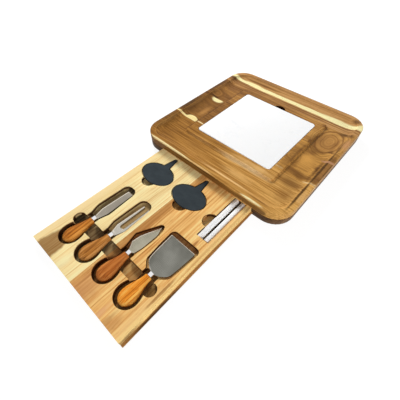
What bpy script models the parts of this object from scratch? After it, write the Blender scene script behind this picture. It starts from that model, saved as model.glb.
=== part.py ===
# Square acacia cheese board with an inlaid marble tile and a slide-out drawer.
# The drawer carries four cheese tools, two slate labels and two chalks in routed pockets.
# Metres, +Z up, the table at Z = 0. The drawer opens towards -Y and stands fully open at rest.
from math import ceil, cos, pi, radians, sin, sqrt, tan

import bmesh
import bpy
from mathutils import Matrix, Vector

# Top board
BOARD_SIDE = 0.330
BOARD_CORNER_RADIUS = 0.038
BOARD_HEIGHT = 0.030
TOP_THICKNESS = 0.016
RIM_LAND_WIDTH = 0.0115
RIM_EDGE_ROUND = 0.0012
MOAT_DEPTH = 0.0062
OUTER_COVE_WIDTH = 0.0220
INNER_COVE_RADIUS = 0.0034
PLATEAU_SIDE = 0.207
PLATEAU_CORNER_RADIUS = 0.006
PLATEAU_DROP = 0.0020
PLATEAU_EDGE_ROUND = 0.0010
# Glue lines between the four staves of the top, from front to back
TOP_GLUE_LINE_shares = (-0.209, 0.088, 0.312)

# Marble tile and its recess
TILE_SIDE = 0.172
TILE_CORNER_RADIUS = 0.004
TILE_THICKNESS = 0.008
TILE_PROUD = 0.0003
TILE_GAP = 0.0009
TILE_EDGE_ROUND = 0.0007
NOTCH_RADIUS = 0.0145
NOTCH_REACH = 0.0097
NOTCH_EXTRA_DEPTH = 0.0030

# Frame of three rails under the top board
BACK_RAIL_DEPTH = 0.034
RAIL_EDGE_ROUND = 0.0010

# Drawer and its running tongues
DRAWER_WIDTH = 0.215
DRAWER_THICKNESS = 0.0125
DRAWER_STAY = 0.028
DRAWER_TOP_GAP = 0.0005
DRAWER_SIDE_GAP = 0.0005
DRAWER_END_GAP = 0.0020
DRAWER_EDGE_ROUND = 0.0005
TONGUE_REACH = 0.004
TONGUE_THICKNESS = 0.003
TONGUE_HEIGHT = 0.0018
TONGUE_GAP = 0.0003
# Glue line between the two staves of the drawer
DRAWER_GLUE_LINE_share = -0.0116

# Clearances and cutting
SEAT_GAP = 0.0003
CUT_OVERRUN = 0.003
FINE_MERGE = 0.00001

# Tool pockets: a wide round bay for each grip, a neck, and a finger trough across all of them
TOOL_PLACE_shares = (-0.3270, -0.1185, 0.0912, 0.3205)
GRIP_PLACE = 0.0422
GRIP_BAY_RADIUS = 0.0192
GRIP_BAY_UPPER_REACH = 0.0260
GRIP_BAY_DEPTH = 0.0109
NECK_BAY_WIDTH = 0.0230
NECK_BAY_REACH = 0.0440
NECK_BAY_DEPTH = 0.0107
BLADE_BAY_DEPTH = 0.0065
NARROW_KNIFE_SIDE_GAP = 0.0084
NARROW_KNIFE_END_GAP = 0.0082
FORK_SIDE_GAP = 0.0058
FORK_END_GAP = 0.0085
SPEAR_KNIFE_SIDE_GAP = 0.0048
SPEAR_KNIFE_END_GAP = 0.0038
SPADE_SIDE_GAP = 0.00395
SPADE_END_GAP = 0.0075
SPADE_BAY_SHIFT = 0.0022
TROUGH_LENGTH = 0.1915
TROUGH_WIDTH = 0.0205
TROUGH_PLACE = 0.0667
TROUGH_DEPTH = 0.0090

# Tools: flattened drop-shaped grips, round ferrules, flat blades with flat tangs
GRIP_WIDTH = 0.0256
GRIP_THICKNESS = 0.0105
GRIP_BUTT_LENGTH = 0.0147
GRIP_TAPER_LENGTH = 0.0362
GRIP_NECK_WIDTH = 0.0112
GRIP_NECK_THICKNESS = 0.0098
GRIP_FULLNESS = 3.2
FERRULE_RADIUS = 0.0051
FERRULE_LENGTH = 0.0065
FERRULE_BEAD = 0.0004
FERRULE_BORE_RADIUS = 0.0025
NARROW_KNIFE_WIDTH = 0.0156
NARROW_KNIFE_LENGTH = 0.0688
FORK_WIDTH = 0.0186
FORK_LENGTH = 0.0665
SPEAR_KNIFE_WIDTH = 0.0214
SPEAR_KNIFE_LENGTH = 0.0582
SPADE_WIDTH = 0.0496
SPADE_LENGTH = 0.0605
BLADE_THICKNESS = 0.0013
BLADE_EDGE_THICKNESS = 0.0004
BLADE_GRIND_WIDTH = 0.0014
TANG_WIDTH = 0.0040
TANG_LENGTH = 0.0240

# Slate labels and their pockets
LABEL_WIDTH = 0.0670
LABEL_HEIGHT = 0.0450
LABEL_THICKNESS = 0.0040
LABEL_EDGE_ROUND = 0.0005
LABEL_GAP = 0.0016
LABEL_PLACE = 0.2145
LABEL_PLACE_shares = (-0.2977, 0.0698)
STAKE_LENGTH = 0.0250
STAKE_BASE_WIDTH = 0.0132
STAKE_TIP_WIDTH = 0.0044
LABEL_NOTCH_RADIUS = 0.0140
LABEL_NOTCH_PLACE = 0.1945
LABEL_NOTCH_DEPTH = 0.0080

# Chalks and their slot
CHALK_RADIUS = 0.00485
CHALK_LENGTH = 0.0950
CHALK_EDGE_ROUND = 0.0004
CHALK_SLOT_WIDTH = 0.0237
CHALK_SLOT_PLACE = 0.1703
CHALK_PLACE_share = 0.3986
CHALK_END_GAP = 0.0004
CHALK_SLIP = 0.0010
CHALK_NOTCH_RADIUS = 0.0140
CHALK_NOTCH_PLACE = 0.2030
CHALK_NOTCH_DEPTH = 0.0080

# Facets
CORNER_STEPS = 9
COVE_STEPS = 5
COVE_SWEEP_DEGREES = 68
ROUND_STEPS = 20
ARC_STEP_DEGREES = 15
MOST_REACH_share = 0.48

# Heights and places that follow from the sizes above
BOARD_HALF = BOARD_SIDE / 2
FRAME_TOP = BOARD_HEIGHT - TOP_THICKNESS
PLATEAU_Z = BOARD_HEIGHT - PLATEAU_DROP
RECESS_Z = PLATEAU_Z + TILE_PROUD - TILE_THICKNESS - SEAT_GAP
BAY_HALF = DRAWER_WIDTH / 2 + DRAWER_SIDE_GAP
DRAWER_LENGTH = BOARD_SIDE - BACK_RAIL_DEPTH - DRAWER_END_GAP
DRAWER_TRAVEL = DRAWER_LENGTH - DRAWER_STAY
DRAWER_TOP = FRAME_TOP - DRAWER_TOP_GAP
GRIP_FLOOR = DRAWER_TOP - GRIP_BAY_DEPTH
TOOL_AXIS_Z = GRIP_FLOOR + SEAT_GAP + GRIP_THICKNESS / 2
FERRULE_START = GRIP_TAPER_LENGTH + SEAT_GAP
BLADE_START = FERRULE_START + FERRULE_LENGTH + SEAT_GAP

# Blade forms: points up one side as shares of half the width and of the length from the ferrule,
# with each corner's radius as a share of half the width
KNIFE_shares = ((0.50, 0.00, 0.0), (0.58, 0.05, 0.3), (1.00, 0.24, 1.6), (0.74, 1.00, 0.25))
SPADE_shares = ((0.20, 0.00, 0.0), (0.44, 0.04, 0.1), (0.84, 0.17, 0.5), (0.92, 0.45, 3.0),
                (1.00, 1.00, 0.07))
FORK_shares = ((0.46, 0.00, 0.0), (0.62, 0.06, 0.2), (1.00, 0.22, 0.8), (0.74, 1.00, 0.10),
               (0.46, 1.00, 0.10), (0.44, 0.22, 0.40))
SPEAR_BACK_shares = ((0.42, 0.00, 0.0), (0.62, 0.05, 0.2), (0.84, 0.25, 0.5), (0.93, 0.78, 2.0),
                     (0.44, 1.00, 0.0))
SPEAR_EDGE_shares = ((0.42, 0.00, 0.0), (0.62, 0.09, 0.2), (1.05, 0.20, 0.4), (0.88, 0.45, 3.0),
                     (-0.40, 1.00, 0.0))
# Blade bays, in the same way, from the middle of the grip's bay
KNIFE_BAY_shares = ((0.70, 0.26, 0.0), (0.70, 0.36, 0.3), (1.00, 0.50, 1.0), (0.82, 1.00, 0.68))
FORK_BAY_shares = ((0.76, 0.26, 0.0), (0.76, 0.37, 0.3), (1.00, 0.49, 1.0), (0.88, 1.00, 0.74))
SPADE_BAY_shares = ((0.40, 0.28, 0.0), (0.42, 0.36, 0.2), (0.83, 0.46, 0.4), (0.93, 0.70, 3.0),
                    (1.00, 1.00, 0.28))
SPEAR_BAY_BACK_shares = ((0.74, 0.29, 0.0), (0.74, 0.42, 0.2), (0.86, 0.55, 1.0), (0.94, 0.74, 3.0),
                         (0.88, 0.90, 1.0), (0.62, 1.00, 0.30))
SPEAR_BAY_EDGE_shares = ((0.74, 0.29, 0.0), (0.74, 0.41, 0.1), (0.82, 0.47, 0.2), (1.08, 0.64, 0.3),
                         (-0.16, 1.00, 0.40))

# name, lean in the pocket in degrees, blade's right and left side, width and length,
# bay's right and left side, gap beside the blade, gap past its tip, and shift
TOOLS = (
    ("narrow_knife", -1.5, KNIFE_shares, KNIFE_shares, NARROW_KNIFE_WIDTH, NARROW_KNIFE_LENGTH,
     KNIFE_BAY_shares, KNIFE_BAY_shares, NARROW_KNIFE_SIDE_GAP, NARROW_KNIFE_END_GAP, 0.0),
    ("fork", -2.0, FORK_shares, FORK_shares, FORK_WIDTH, FORK_LENGTH,
     FORK_BAY_shares, FORK_BAY_shares, FORK_SIDE_GAP, FORK_END_GAP, 0.0),
    ("spear_knife", 0.0, SPEAR_BACK_shares, SPEAR_EDGE_shares, SPEAR_KNIFE_WIDTH, SPEAR_KNIFE_LENGTH,
     SPEAR_BAY_BACK_shares, SPEAR_BAY_EDGE_shares, SPEAR_KNIFE_SIDE_GAP, SPEAR_KNIFE_END_GAP, 0.0),
    ("spade", -0.4, SPADE_shares, SPADE_shares, SPADE_WIDTH, SPADE_LENGTH,
     SPADE_BAY_shares, SPADE_BAY_shares, SPADE_SIDE_GAP, SPADE_END_GAP, SPADE_BAY_SHIFT),
)


def clear_scene():
    """Remove whatever the file holds, so the model starts from nothing."""
    for item in list(bpy.data.objects):
        bpy.data.objects.remove(item, do_unlink=True)


def make_material(name, color, roughness, metallic=0.0):
    """A plain Principled material."""
    material = bpy.data.materials.new(name)
    material.use_nodes = True
    shader = material.node_tree.nodes["Principled BSDF"]
    shader.inputs["Base Color"].default_value = (*color, 1.0)
    shader.inputs["Roughness"].default_value = roughness
    shader.inputs["Metallic"].default_value = metallic
    material.diffuse_color = (*color, 1.0)
    return material


def empty(name, place, parent=None, lean=0.0):
    """An empty that carries a body, at the body's own reference point."""
    item = bpy.data.objects.new(name, None)
    bpy.context.collection.objects.link(item)
    item.parent = parent
    item.location = place
    item.rotation_euler[2] = radians(lean)
    return item


def to_object(bm, name, material, parent, smooth=False):
    """Turn a bmesh into a named object on its carrier."""
    bmesh.ops.recalc_face_normals(bm, faces=bm.faces)
    mesh = bpy.data.meshes.new(name)
    bm.to_mesh(mesh)
    bm.free()
    if smooth:
        mesh.shade_smooth()
        mesh.set_sharp_from_angle(angle=radians(35))
    item = bpy.data.objects.new(name, mesh)
    bpy.context.collection.objects.link(item)
    item.parent = parent
    if material:
        mesh.materials.append(material)
    return item


def add_bevel(item, width, segments=2):
    """Round the sharp edges of a piece."""
    bevel = item.modifiers.new("edge_round", "BEVEL")
    bevel.width = width
    bevel.segments = segments
    bevel.limit_method = "ANGLE"
    bevel.angle_limit = radians(50)


def cut(item, cutter):
    """Take a cutter's space out of a piece and keep the cutter as a guide."""
    boolean = item.modifiers.new(cutter.name, "BOOLEAN")
    boolean.operation = "DIFFERENCE"
    boolean.solver = "EXACT"
    boolean.object = cutter
    cutter.hide_render = True
    cutter.display_type = "WIRE"


def soften(points):
    """A closed outline from (x, y, radius) points, with an arc in place of each corner that has a radius."""
    outline = []
    for index, (x, y, radius) in enumerate(points):
        corner = Vector((x, y))
        before = Vector(points[index - 1][:2]) - corner
        after = Vector(points[(index + 1) % len(points)][:2]) - corner
        half = before.angle(after) / 2
        reach = min(radius / tan(half), MOST_REACH_share * before.length, MOST_REACH_share * after.length)
        if reach < FINE_MERGE:
            outline.append((x, y))
            continue
        before, after = before.normalized(), after.normalized()
        centre = (before + after).normalized() * reach / cos(half)
        start, end = (before * reach - centre).normalized(), (after * reach - centre).normalized()
        steps = max(2, ceil((pi - 2 * half) / radians(ARC_STEP_DEGREES)))
        outline += [tuple(corner + centre + start.slerp(end, step / steps) * reach * tan(half))
                    for step in range(steps + 1)]
    return outline


def two_sided(right, left, width, length, start=0.0, shift=0.0):
    """A whole outline from the points up its right and its left side."""
    half = width / 2
    up = [(shift + x * half, start + y * length, radius * half) for x, y, radius in right]
    down = [(shift - x * half, start + y * length, radius * half) for x, y, radius in reversed(left)]
    return up + down


def prism(name, outline, low, high, material, parent):
    """An outline extruded from one height to another."""
    bm = bmesh.new()
    face = bm.faces.new([bm.verts.new((x, y, low)) for x, y in outline])
    top = bmesh.ops.extrude_face_region(bm, geom=[face])["geom"]
    raised = [v for v in top if isinstance(v, bmesh.types.BMVert)]
    bmesh.ops.translate(bm, verts=raised, vec=(0, 0, high - low))
    return to_object(bm, name, material, parent)


def cylinder(name, radius, low, high, place, material, parent, steps=ROUND_STEPS):
    """An upright cylinder, also used as a round cutter."""
    outline = [(place[0] + radius * cos(2 * pi * i / steps), place[1] + radius * sin(2 * pi * i / steps))
               for i in range(steps)]
    return prism(name, outline, low, high, material, parent)


def square_ring(half, radius, z):
    """The points of a square with round corners."""
    points = []
    for quarter in range(4):
        for step in range(CORNER_STEPS + 1):
            angle = pi / 2 * (quarter + step / CORNER_STEPS)
            x = (half - radius) * (1 if quarter in (0, 3) else -1) + radius * cos(angle)
            y = (half - radius) * (1 if quarter in (0, 1) else -1) + radius * sin(angle)
            points.append((x, y, z))
    return points


def skin(rings, tip=None):
    """A closed surface through rings of points, with flat ends, or a point at its start."""
    bm = bmesh.new()
    loops = [[bm.verts.new(point) for point in ring] for ring in rings]
    for lower, upper in zip(loops, loops[1:]):
        for index in range(len(lower)):
            bm.faces.new((lower[index - 1], lower[index], upper[index], upper[index - 1]))
    if tip:
        point = bm.verts.new(tip)
        for index in range(len(loops[0])):
            bm.faces.new((loops[0][index], loops[0][index - 1], point))
    else:
        bm.faces.new(reversed(loops[0]))
    bm.faces.new(loops[-1])
    return bm


def stack(sections):
    """A closed surface through squares of (half, corner radius, height)."""
    return skin([square_ring(*section) for section in sections])


def quarter_arc(steps):
    """Pairs (sine, 1 - cosine) over a quarter turn."""
    return [(sin(pi / 2 * i / steps), 1 - cos(pi / 2 * i / steps)) for i in range(1, steps + 1)]


def board_sections():
    """The top board's surface from its underside out, over the rim, through the moat to the tile's recess."""
    radius = BOARD_CORNER_RADIUS
    land_inner = BOARD_HALF - RIM_LAND_WIDTH
    land_radius = radius - RIM_LAND_WIDTH
    sections = [(BOARD_HALF - RIM_EDGE_ROUND, radius - RIM_EDGE_ROUND, FRAME_TOP),
                (BOARD_HALF, radius, FRAME_TOP + RIM_EDGE_ROUND),
                (BOARD_HALF, radius, BOARD_HEIGHT - RIM_EDGE_ROUND)]
    for side, rise in quarter_arc(3):
        inward = RIM_EDGE_ROUND * rise
        sections.append((BOARD_HALF - inward, radius - inward, BOARD_HEIGHT - RIM_EDGE_ROUND * (1 - side)))
    for side, drop in [(0.0, 0.0)] + quarter_arc(3):
        inward = RIM_EDGE_ROUND * side
        sections.append((land_inner + RIM_EDGE_ROUND - inward, land_radius + RIM_EDGE_ROUND - inward,
                         BOARD_HEIGHT - RIM_EDGE_ROUND * drop))
    floor = BOARD_HEIGHT - MOAT_DEPTH
    wall = MOAT_DEPTH - RIM_EDGE_ROUND
    sweep = radians(COVE_SWEEP_DEGREES)
    for step in range(1, COVE_STEPS + 1):
        angle = sweep * (1 - step / COVE_STEPS)
        inward = OUTER_COVE_WIDTH * (1 - sin(angle) / sin(sweep))
        sections.append((land_inner - inward, land_radius - inward,
                         floor + wall * (1 - cos(angle)) / (1 - cos(sweep))))
    half = PLATEAU_SIDE / 2
    corner = PLATEAU_CORNER_RADIUS
    for side, rise in [(0.0, 0.0)] + quarter_arc(COVE_STEPS):
        out = INNER_COVE_RADIUS * (1 - side)
        sections.append((half + out, corner + out, floor + INNER_COVE_RADIUS * rise))
    for side, rise in [(0.0, 0.0)] + quarter_arc(2):
        inward = PLATEAU_EDGE_ROUND * rise
        sections.append((half - inward, corner - inward, PLATEAU_Z - PLATEAU_EDGE_ROUND * (1 - side)))
    recess = TILE_SIDE / 2 + TILE_GAP
    recess_corner = TILE_CORNER_RADIUS + TILE_GAP
    sections += [(recess, recess_corner, PLATEAU_Z), (recess, recess_corner, RECESS_Z)]
    return sections


def slice_between(blank, axis, low, high):
    """A copy of the blank's part between two planes across an axis, with flat faces there."""
    piece = blank.copy()
    for place, direction in ((low, -1), (high, 1)):
        point, normal = Vector(), Vector()
        point[axis], normal[axis] = place, direction
        geometry = piece.verts[:] + piece.edges[:] + piece.faces[:]
        split = bmesh.ops.bisect_plane(piece, geom=geometry, dist=FINE_MERGE, plane_co=point, plane_no=normal,
                                       clear_outer=True)["geom_cut"]
        edges = [part for part in split if isinstance(part, bmesh.types.BMEdge)]
        for vert in {vert for edge in edges for vert in edge.verts}:
            vert.co[axis] = place
        bmesh.ops.holes_fill(piece, edges=edges, sides=0)
    return piece


def make_top_board(material, parent):
    """The dished top board, four staves glued edge to edge, with the finger notch behind the recess."""
    blank = stack(board_sections())
    notch_y = TILE_SIDE / 2 + NOTCH_REACH - NOTCH_RADIUS
    notch = cylinder("notch_cutter", NOTCH_RADIUS, RECESS_Z - NOTCH_EXTRA_DEPTH, BOARD_HEIGHT + CUT_OVERRUN,
                     (0, notch_y), None, parent, steps=2 * ROUND_STEPS)
    lines = [-BOARD_SIDE] + [share * BOARD_SIDE for share in TOP_GLUE_LINE_shares] + [BOARD_SIDE]
    for number, (low, high) in enumerate(zip(lines, lines[1:]), 1):
        shape = slice_between(blank, 1, low, high)
        stave = to_object(shape, f"top_stave_{number}", material, parent, smooth=True)
        if low < notch_y + NOTCH_RADIUS and high > notch_y - NOTCH_RADIUS:
            cut(stave, notch)
    blank.free()


def make_tile(material, parent):
    """The square marble tile with softened edges."""
    half, corner, low = TILE_SIDE / 2, TILE_CORNER_RADIUS, RECESS_Z + SEAT_GAP
    high = low + TILE_THICKNESS
    sections = [(half, corner, low)]
    for side, rise in [(0.0, 0.0)] + quarter_arc(2):
        inward = TILE_EDGE_ROUND * rise
        sections.append((half - inward, corner - inward, high - TILE_EDGE_ROUND * (1 - side)))
    to_object(stack(sections), "marble_tile", material, parent, smooth=True)


def make_rails(material, parent):
    """Two grooved side rails and the back rail between them, under the top board's outline."""
    groove_low = DRAWER_TOP - DRAWER_THICKNESS + TONGUE_HEIGHT - TONGUE_GAP
    groove_high = groove_low + TONGUE_THICKNESS + 2 * TONGUE_GAP
    groove_half = DRAWER_WIDTH / 2 + TONGUE_REACH + TONGUE_GAP
    length = BOARD_HALF + CUT_OVERRUN
    top = FRAME_TOP - SEAT_GAP
    blank = stack([(BOARD_HALF, BOARD_CORNER_RADIUS, 0), (BOARD_HALF, BOARD_CORNER_RADIUS, top)])
    for name, side in (("side_rail_left", -1), ("side_rail_right", 1)):
        low, high = sorted((side * BAY_HALF, side * BOARD_SIDE))
        rail = to_object(slice_between(blank, 0, low, high), name, material, parent)
        add_bevel(rail, RAIL_EDGE_ROUND, 2)
        inner, outer = side * (BAY_HALF - CUT_OVERRUN), side * groove_half
        outline = [(inner, -length), (outer, -length), (outer, length), (inner, length)]
        groove = prism(name + "_groove_cutter", outline, groove_low, groove_high, None, parent)
        cut(rail, groove)
    middle = slice_between(blank, 0, -BAY_HALF + SEAT_GAP, BAY_HALF - SEAT_GAP)
    back = slice_between(middle, 1, BOARD_HALF - BACK_RAIL_DEPTH, BOARD_SIDE)
    add_bevel(to_object(back, "back_rail", material, parent), RAIL_EDGE_ROUND, 2)
    middle.free()
    blank.free()


def drawer_stave_section(side):
    """One drawer stave seen from the drawer's front: a plank with a running tongue low on its outer side."""
    glue, half = DRAWER_GLUE_LINE_share * DRAWER_WIDTH, side * DRAWER_WIDTH / 2
    tongue = half + side * TONGUE_REACH
    low = DRAWER_TOP - DRAWER_THICKNESS
    tongue_low = low + TONGUE_HEIGHT
    tongue_high = tongue_low + TONGUE_THICKNESS
    return [(glue, low), (half, low), (half, tongue_low), (tongue, tongue_low), (tongue, tongue_high),
            (half, tongue_high), (half, DRAWER_TOP), (glue, DRAWER_TOP)]


def make_drawer_blank(material, parent):
    """The drawer's two staves, glued edge to edge, before the pockets are routed."""
    staves = []
    for name, side in (("drawer_stave_left", -1), ("drawer_stave_right", 1)):
        bm = bmesh.new()
        face = bm.faces.new([bm.verts.new((x, 0, z)) for x, z in drawer_stave_section(side)])
        far = bmesh.ops.extrude_face_region(bm, geom=[face])["geom"]
        drawn = [v for v in far if isinstance(v, bmesh.types.BMVert)]
        bmesh.ops.translate(bm, verts=drawn, vec=(0, DRAWER_LENGTH, 0))
        glue = DRAWER_GLUE_LINE_share * DRAWER_WIDTH
        outer = [edge for edge in bm.edges
                 if all(side * (vert.co.x - glue) > FINE_MERGE for vert in edge.verts)]
        bmesh.ops.bevel(bm, geom=outer, offset=DRAWER_EDGE_ROUND, segments=2, profile=0.5, affect="EDGES",
                        material=-1, clamp_overlap=True)
        staves.append(to_object(bm, name, material, parent))
    return staves


def oval(half_width, low_reach, high_reach, place, steps=2 * ROUND_STEPS):
    """An oval whose lower and upper halves reach differently far."""
    outline = []
    for step in range(steps):
        angle = 2 * pi * step / steps
        reach = high_reach if sin(angle) > 0 else low_reach
        outline.append((place[0] + half_width * cos(angle), place[1] + reach * sin(angle)))
    return outline


def label_outline(gap=0.0):
    """An oval label with its pointed stake, grown by a gap all round for the pocket."""
    half_width, half_height = LABEL_WIDTH / 2 + gap, LABEL_HEIGHT / 2 + gap
    base, tip = STAKE_BASE_WIDTH / 2 + gap, STAKE_TIP_WIDTH / 2 + gap
    end = LABEL_HEIGHT / 2 + STAKE_LENGTH + gap
    base_y = half_height * sqrt(1 - (base / half_width) ** 2)
    stake = soften([(base, base_y, 0), (tip, end, tip), (-tip, end, tip), (-base, base_y, 0)])
    start = pi / 2 + base / half_width
    sweep = 2 * pi - 2 * base / half_width
    steps = 2 * ROUND_STEPS
    rest = [(half_width * cos(start + sweep * i / steps), half_height * sin(start + sweep * i / steps))
            for i in range(1, steps)]
    return stake + rest


def make_drawer(material, parent):
    """The drawer with all its routed pockets; its own origin is the middle of its front edge."""
    left, right = make_drawer_blank(material, parent)
    top = DRAWER_TOP + CUT_OVERRUN
    glue = DRAWER_GLUE_LINE_share * DRAWER_WIDTH

    def pocket(name, outline, depth, shift=(0, 0)):
        moved = [(x + shift[0], y + shift[1]) for x, y in outline]
        cutter = prism(name, moved, DRAWER_TOP - depth, top, None, parent)
        if min(x for x, _ in moved) < glue:
            cut(left, cutter)
        if max(x for x, _ in moved) > glue:
            cut(right, cutter)

    for place, tool in zip(TOOL_PLACE_shares, TOOLS):
        name, _, _, _, blade_width, blade_length, right_side, left_side, side_gap, end_gap, shift = tool
        width, length = blade_width + 2 * side_gap, BLADE_START + blade_length + end_gap
        centre = (place * DRAWER_WIDTH, GRIP_PLACE)
        grip_bay = oval(GRIP_BAY_RADIUS, GRIP_BAY_RADIUS, GRIP_BAY_UPPER_REACH, (0, 0))
        neck = NECK_BAY_WIDTH / 2
        pocket(name + "_grip_cutter", grip_bay, GRIP_BAY_DEPTH, centre)
        neck_bay = [(-neck, 0), (neck, 0), (neck, NECK_BAY_REACH), (-neck, NECK_BAY_REACH)]
        pocket(name + "_neck_cutter", neck_bay, NECK_BAY_DEPTH, centre)
        blade_bay = soften(two_sided(right_side, left_side, width, length, shift=shift))
        pocket(name + "_blade_cutter", blade_bay, BLADE_BAY_DEPTH, centre)
    end, across = TROUGH_LENGTH / 2, TROUGH_WIDTH / 2
    trough = soften([(-end, -across, across), (end, -across, across), (end, across, across),
                     (-end, across, across)])
    pocket("trough_cutter", trough, TROUGH_DEPTH, (0, TROUGH_PLACE))
    for number, place in enumerate(LABEL_PLACE_shares, 1):
        x = place * DRAWER_WIDTH
        depth = LABEL_THICKNESS + 2 * SEAT_GAP
        pocket(f"label_{number}_cutter", label_outline(LABEL_GAP), depth, (x, LABEL_PLACE))
        notch = oval(LABEL_NOTCH_RADIUS, LABEL_NOTCH_RADIUS, LABEL_NOTCH_RADIUS, (x, LABEL_NOTCH_PLACE))
        pocket(f"label_{number}_notch_cutter", notch, LABEL_NOTCH_DEPTH)
    slot_x, slot_half = CHALK_PLACE_share * DRAWER_WIDTH, CHALK_SLOT_WIDTH / 2
    slot_end = CHALK_SLOT_PLACE + CHALK_LENGTH + 2 * CHALK_END_GAP
    slot = [(slot_x - slot_half, CHALK_SLOT_PLACE), (slot_x + slot_half, CHALK_SLOT_PLACE),
            (slot_x + slot_half, slot_end), (slot_x - slot_half, slot_end)]
    pocket("chalk_slot_cutter", slot, 2 * CHALK_RADIUS + 2 * SEAT_GAP)
    notch = oval(CHALK_NOTCH_RADIUS, CHALK_NOTCH_RADIUS, CHALK_NOTCH_RADIUS,
                 (slot_x - slot_half + SEAT_GAP, CHALK_NOTCH_PLACE))
    pocket("chalk_notch_cutter", notch, CHALK_NOTCH_DEPTH)


def grip_rings():
    """Place along the grip, half width and half thickness of each ring, from the butt to the neck."""
    rings = []
    for step in range(1, COVE_STEPS + 2):
        angle = pi / 2 * step / (COVE_STEPS + 1)
        wide, thick = GRIP_WIDTH / 2 * sin(angle), GRIP_THICKNESS / 2 * sin(angle)
        rings.append((-GRIP_BUTT_LENGTH * cos(angle), wide, thick))
    for step in range(1, CORNER_STEPS + 1):
        share = step / CORNER_STEPS
        ease = (1 + cos(pi * share)) / 2
        width = GRIP_NECK_WIDTH + (GRIP_WIDTH - GRIP_NECK_WIDTH) * ease
        thickness = GRIP_NECK_THICKNESS + (GRIP_THICKNESS - GRIP_NECK_THICKNESS) * ease
        rings.append((GRIP_TAPER_LENGTH * share, width / 2, thickness / 2))
    return rings


def make_grip(name, material, parent):
    """A flattened drop-shaped wooden grip with a blind bore for the tang."""
    rings = []
    for y, half_width, half_thickness in grip_rings():
        ring = []
        for step in range(ROUND_STEPS):
            angle = 2 * pi * step / ROUND_STEPS
            across, up = cos(angle), sin(angle)
            x = half_width * abs(across) ** (2 / GRIP_FULLNESS) * (1 if across > 0 else -1)
            z = half_thickness * abs(up) ** (2 / GRIP_FULLNESS) * (1 if up > 0 else -1)
            ring.append((x, y, z))
        rings.append(ring)
    bm = skin(rings, tip=(0, -GRIP_BUTT_LENGTH, 0))
    grip = to_object(bm, name + "_grip", material, parent, smooth=True)
    radius, low = FERRULE_BORE_RADIUS, GRIP_TAPER_LENGTH - TANG_LENGTH + FERRULE_LENGTH
    bm = bmesh.new()
    ring = bmesh.ops.create_circle(bm, cap_ends=True, radius=radius, segments=ROUND_STEPS // 2)["verts"]
    bmesh.ops.rotate(bm, verts=ring, matrix=Matrix.Rotation(-pi / 2, 3, "X"))
    bmesh.ops.translate(bm, verts=ring, vec=(0, low, 0))
    far = bmesh.ops.extrude_face_region(bm, geom=list(bm.faces))["geom"]
    bmesh.ops.translate(bm, verts=[v for v in far if isinstance(v, bmesh.types.BMVert)],
                        vec=(0, GRIP_TAPER_LENGTH - low + CUT_OVERRUN, 0))
    cut(grip, to_object(bm, name + "_bore_cutter", None, parent))


def turned(name, profile, material, parent, steps=ROUND_STEPS):
    """A ring or rod turned about the Y axis from (radius, along) points of a closed profile."""
    bm = bmesh.new()
    verts = [bm.verts.new((radius, along, 0)) for radius, along in profile]
    edges = [bm.edges.new((verts[i - 1], verts[i])) for i in range(len(verts))]
    bmesh.ops.spin(bm, geom=verts + edges, axis=(0, 1, 0), cent=(0, 0, 0), angle=2 * pi, steps=steps,
                   use_merge=True)
    bmesh.ops.remove_doubles(bm, verts=bm.verts, dist=FINE_MERGE)
    return to_object(bm, name, material, parent, smooth=True)


def make_ferrule(name, material, parent):
    """A chrome ferrule: a short tube with a rounded bead at each end."""
    low, high, outer = FERRULE_START, FERRULE_START + FERRULE_LENGTH, FERRULE_RADIUS
    bead = FERRULE_BEAD
    profile = [(FERRULE_BORE_RADIUS, low), (outer - bead, low), (outer, low + bead), (outer, low + 2 * bead),
               (outer - bead, low + 3 * bead), (outer - bead, high - 3 * bead), (outer, high - 2 * bead),
               (outer, high - bead), (outer - bead, high), (FERRULE_BORE_RADIUS, high)]
    turned(name + "_ferrule", profile, material, parent)


def make_blade(name, sides, width, length, material, parent):
    """A flat steel blade with a ground edge and a flat tang that runs back through the ferrule."""
    tang, back = TANG_WIDTH / 2, BLADE_START - TANG_LENGTH
    form = two_sided(*sides, width, length, start=BLADE_START)
    points = [(-tang, BLADE_START, 0), (-tang, back, 0), (tang, back, 0), (tang, BLADE_START, 0)]
    outline = soften(points + form)
    bm = bmesh.new()
    low, high = -BLADE_THICKNESS / 2, BLADE_THICKNESS / 2
    face = bm.faces.new([bm.verts.new((x, y, low)) for x, y in outline])
    top = bmesh.ops.extrude_face_region(bm, geom=[face])["geom"]
    raised = [v for v in top if isinstance(v, bmesh.types.BMVert)]
    bmesh.ops.translate(bm, verts=raised, vec=(0, 0, high - low))
    upper = [f for f in top if isinstance(f, bmesh.types.BMFace)]
    rim = set(upper[0].verts)
    bmesh.ops.inset_region(bm, faces=upper, thickness=BLADE_GRIND_WIDTH / 2, use_even_offset=True)
    grind_from = BLADE_START + BLADE_GRIND_WIDTH
    for vert in rim:
        if vert.co.y > grind_from:
            vert.co.z = low + BLADE_EDGE_THICKNESS
    to_object(bm, name + "_blade", material, parent)


def make_tools(wood, chrome, steel, drawer):
    """The four tools, each on its own carrier in the middle of its grip's bay."""
    for place, tool in zip(TOOL_PLACE_shares, TOOLS):
        name, lean, right_side, left_side, width, length = tool[:6]
        carrier = empty(name + "_lift", (place * DRAWER_WIDTH, GRIP_PLACE, TOOL_AXIS_Z), drawer, lean)
        make_grip(name, wood, carrier)
        make_ferrule(name, chrome, carrier)
        make_blade(name, (right_side, left_side), width, length, steel, carrier)


def make_labels(material, drawer):
    """The two slate labels, lying face up in their pockets."""
    for number, place in enumerate(LABEL_PLACE_shares, 1):
        low = DRAWER_TOP - LABEL_THICKNESS - SEAT_GAP
        carrier = empty(f"slate_label_{number}_lift", (place * DRAWER_WIDTH, LABEL_PLACE, low), drawer)
        label = prism(f"slate_label_{number}", label_outline(), 0, LABEL_THICKNESS, material, carrier)
        add_bevel(label, LABEL_EDGE_ROUND, 1)


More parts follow.
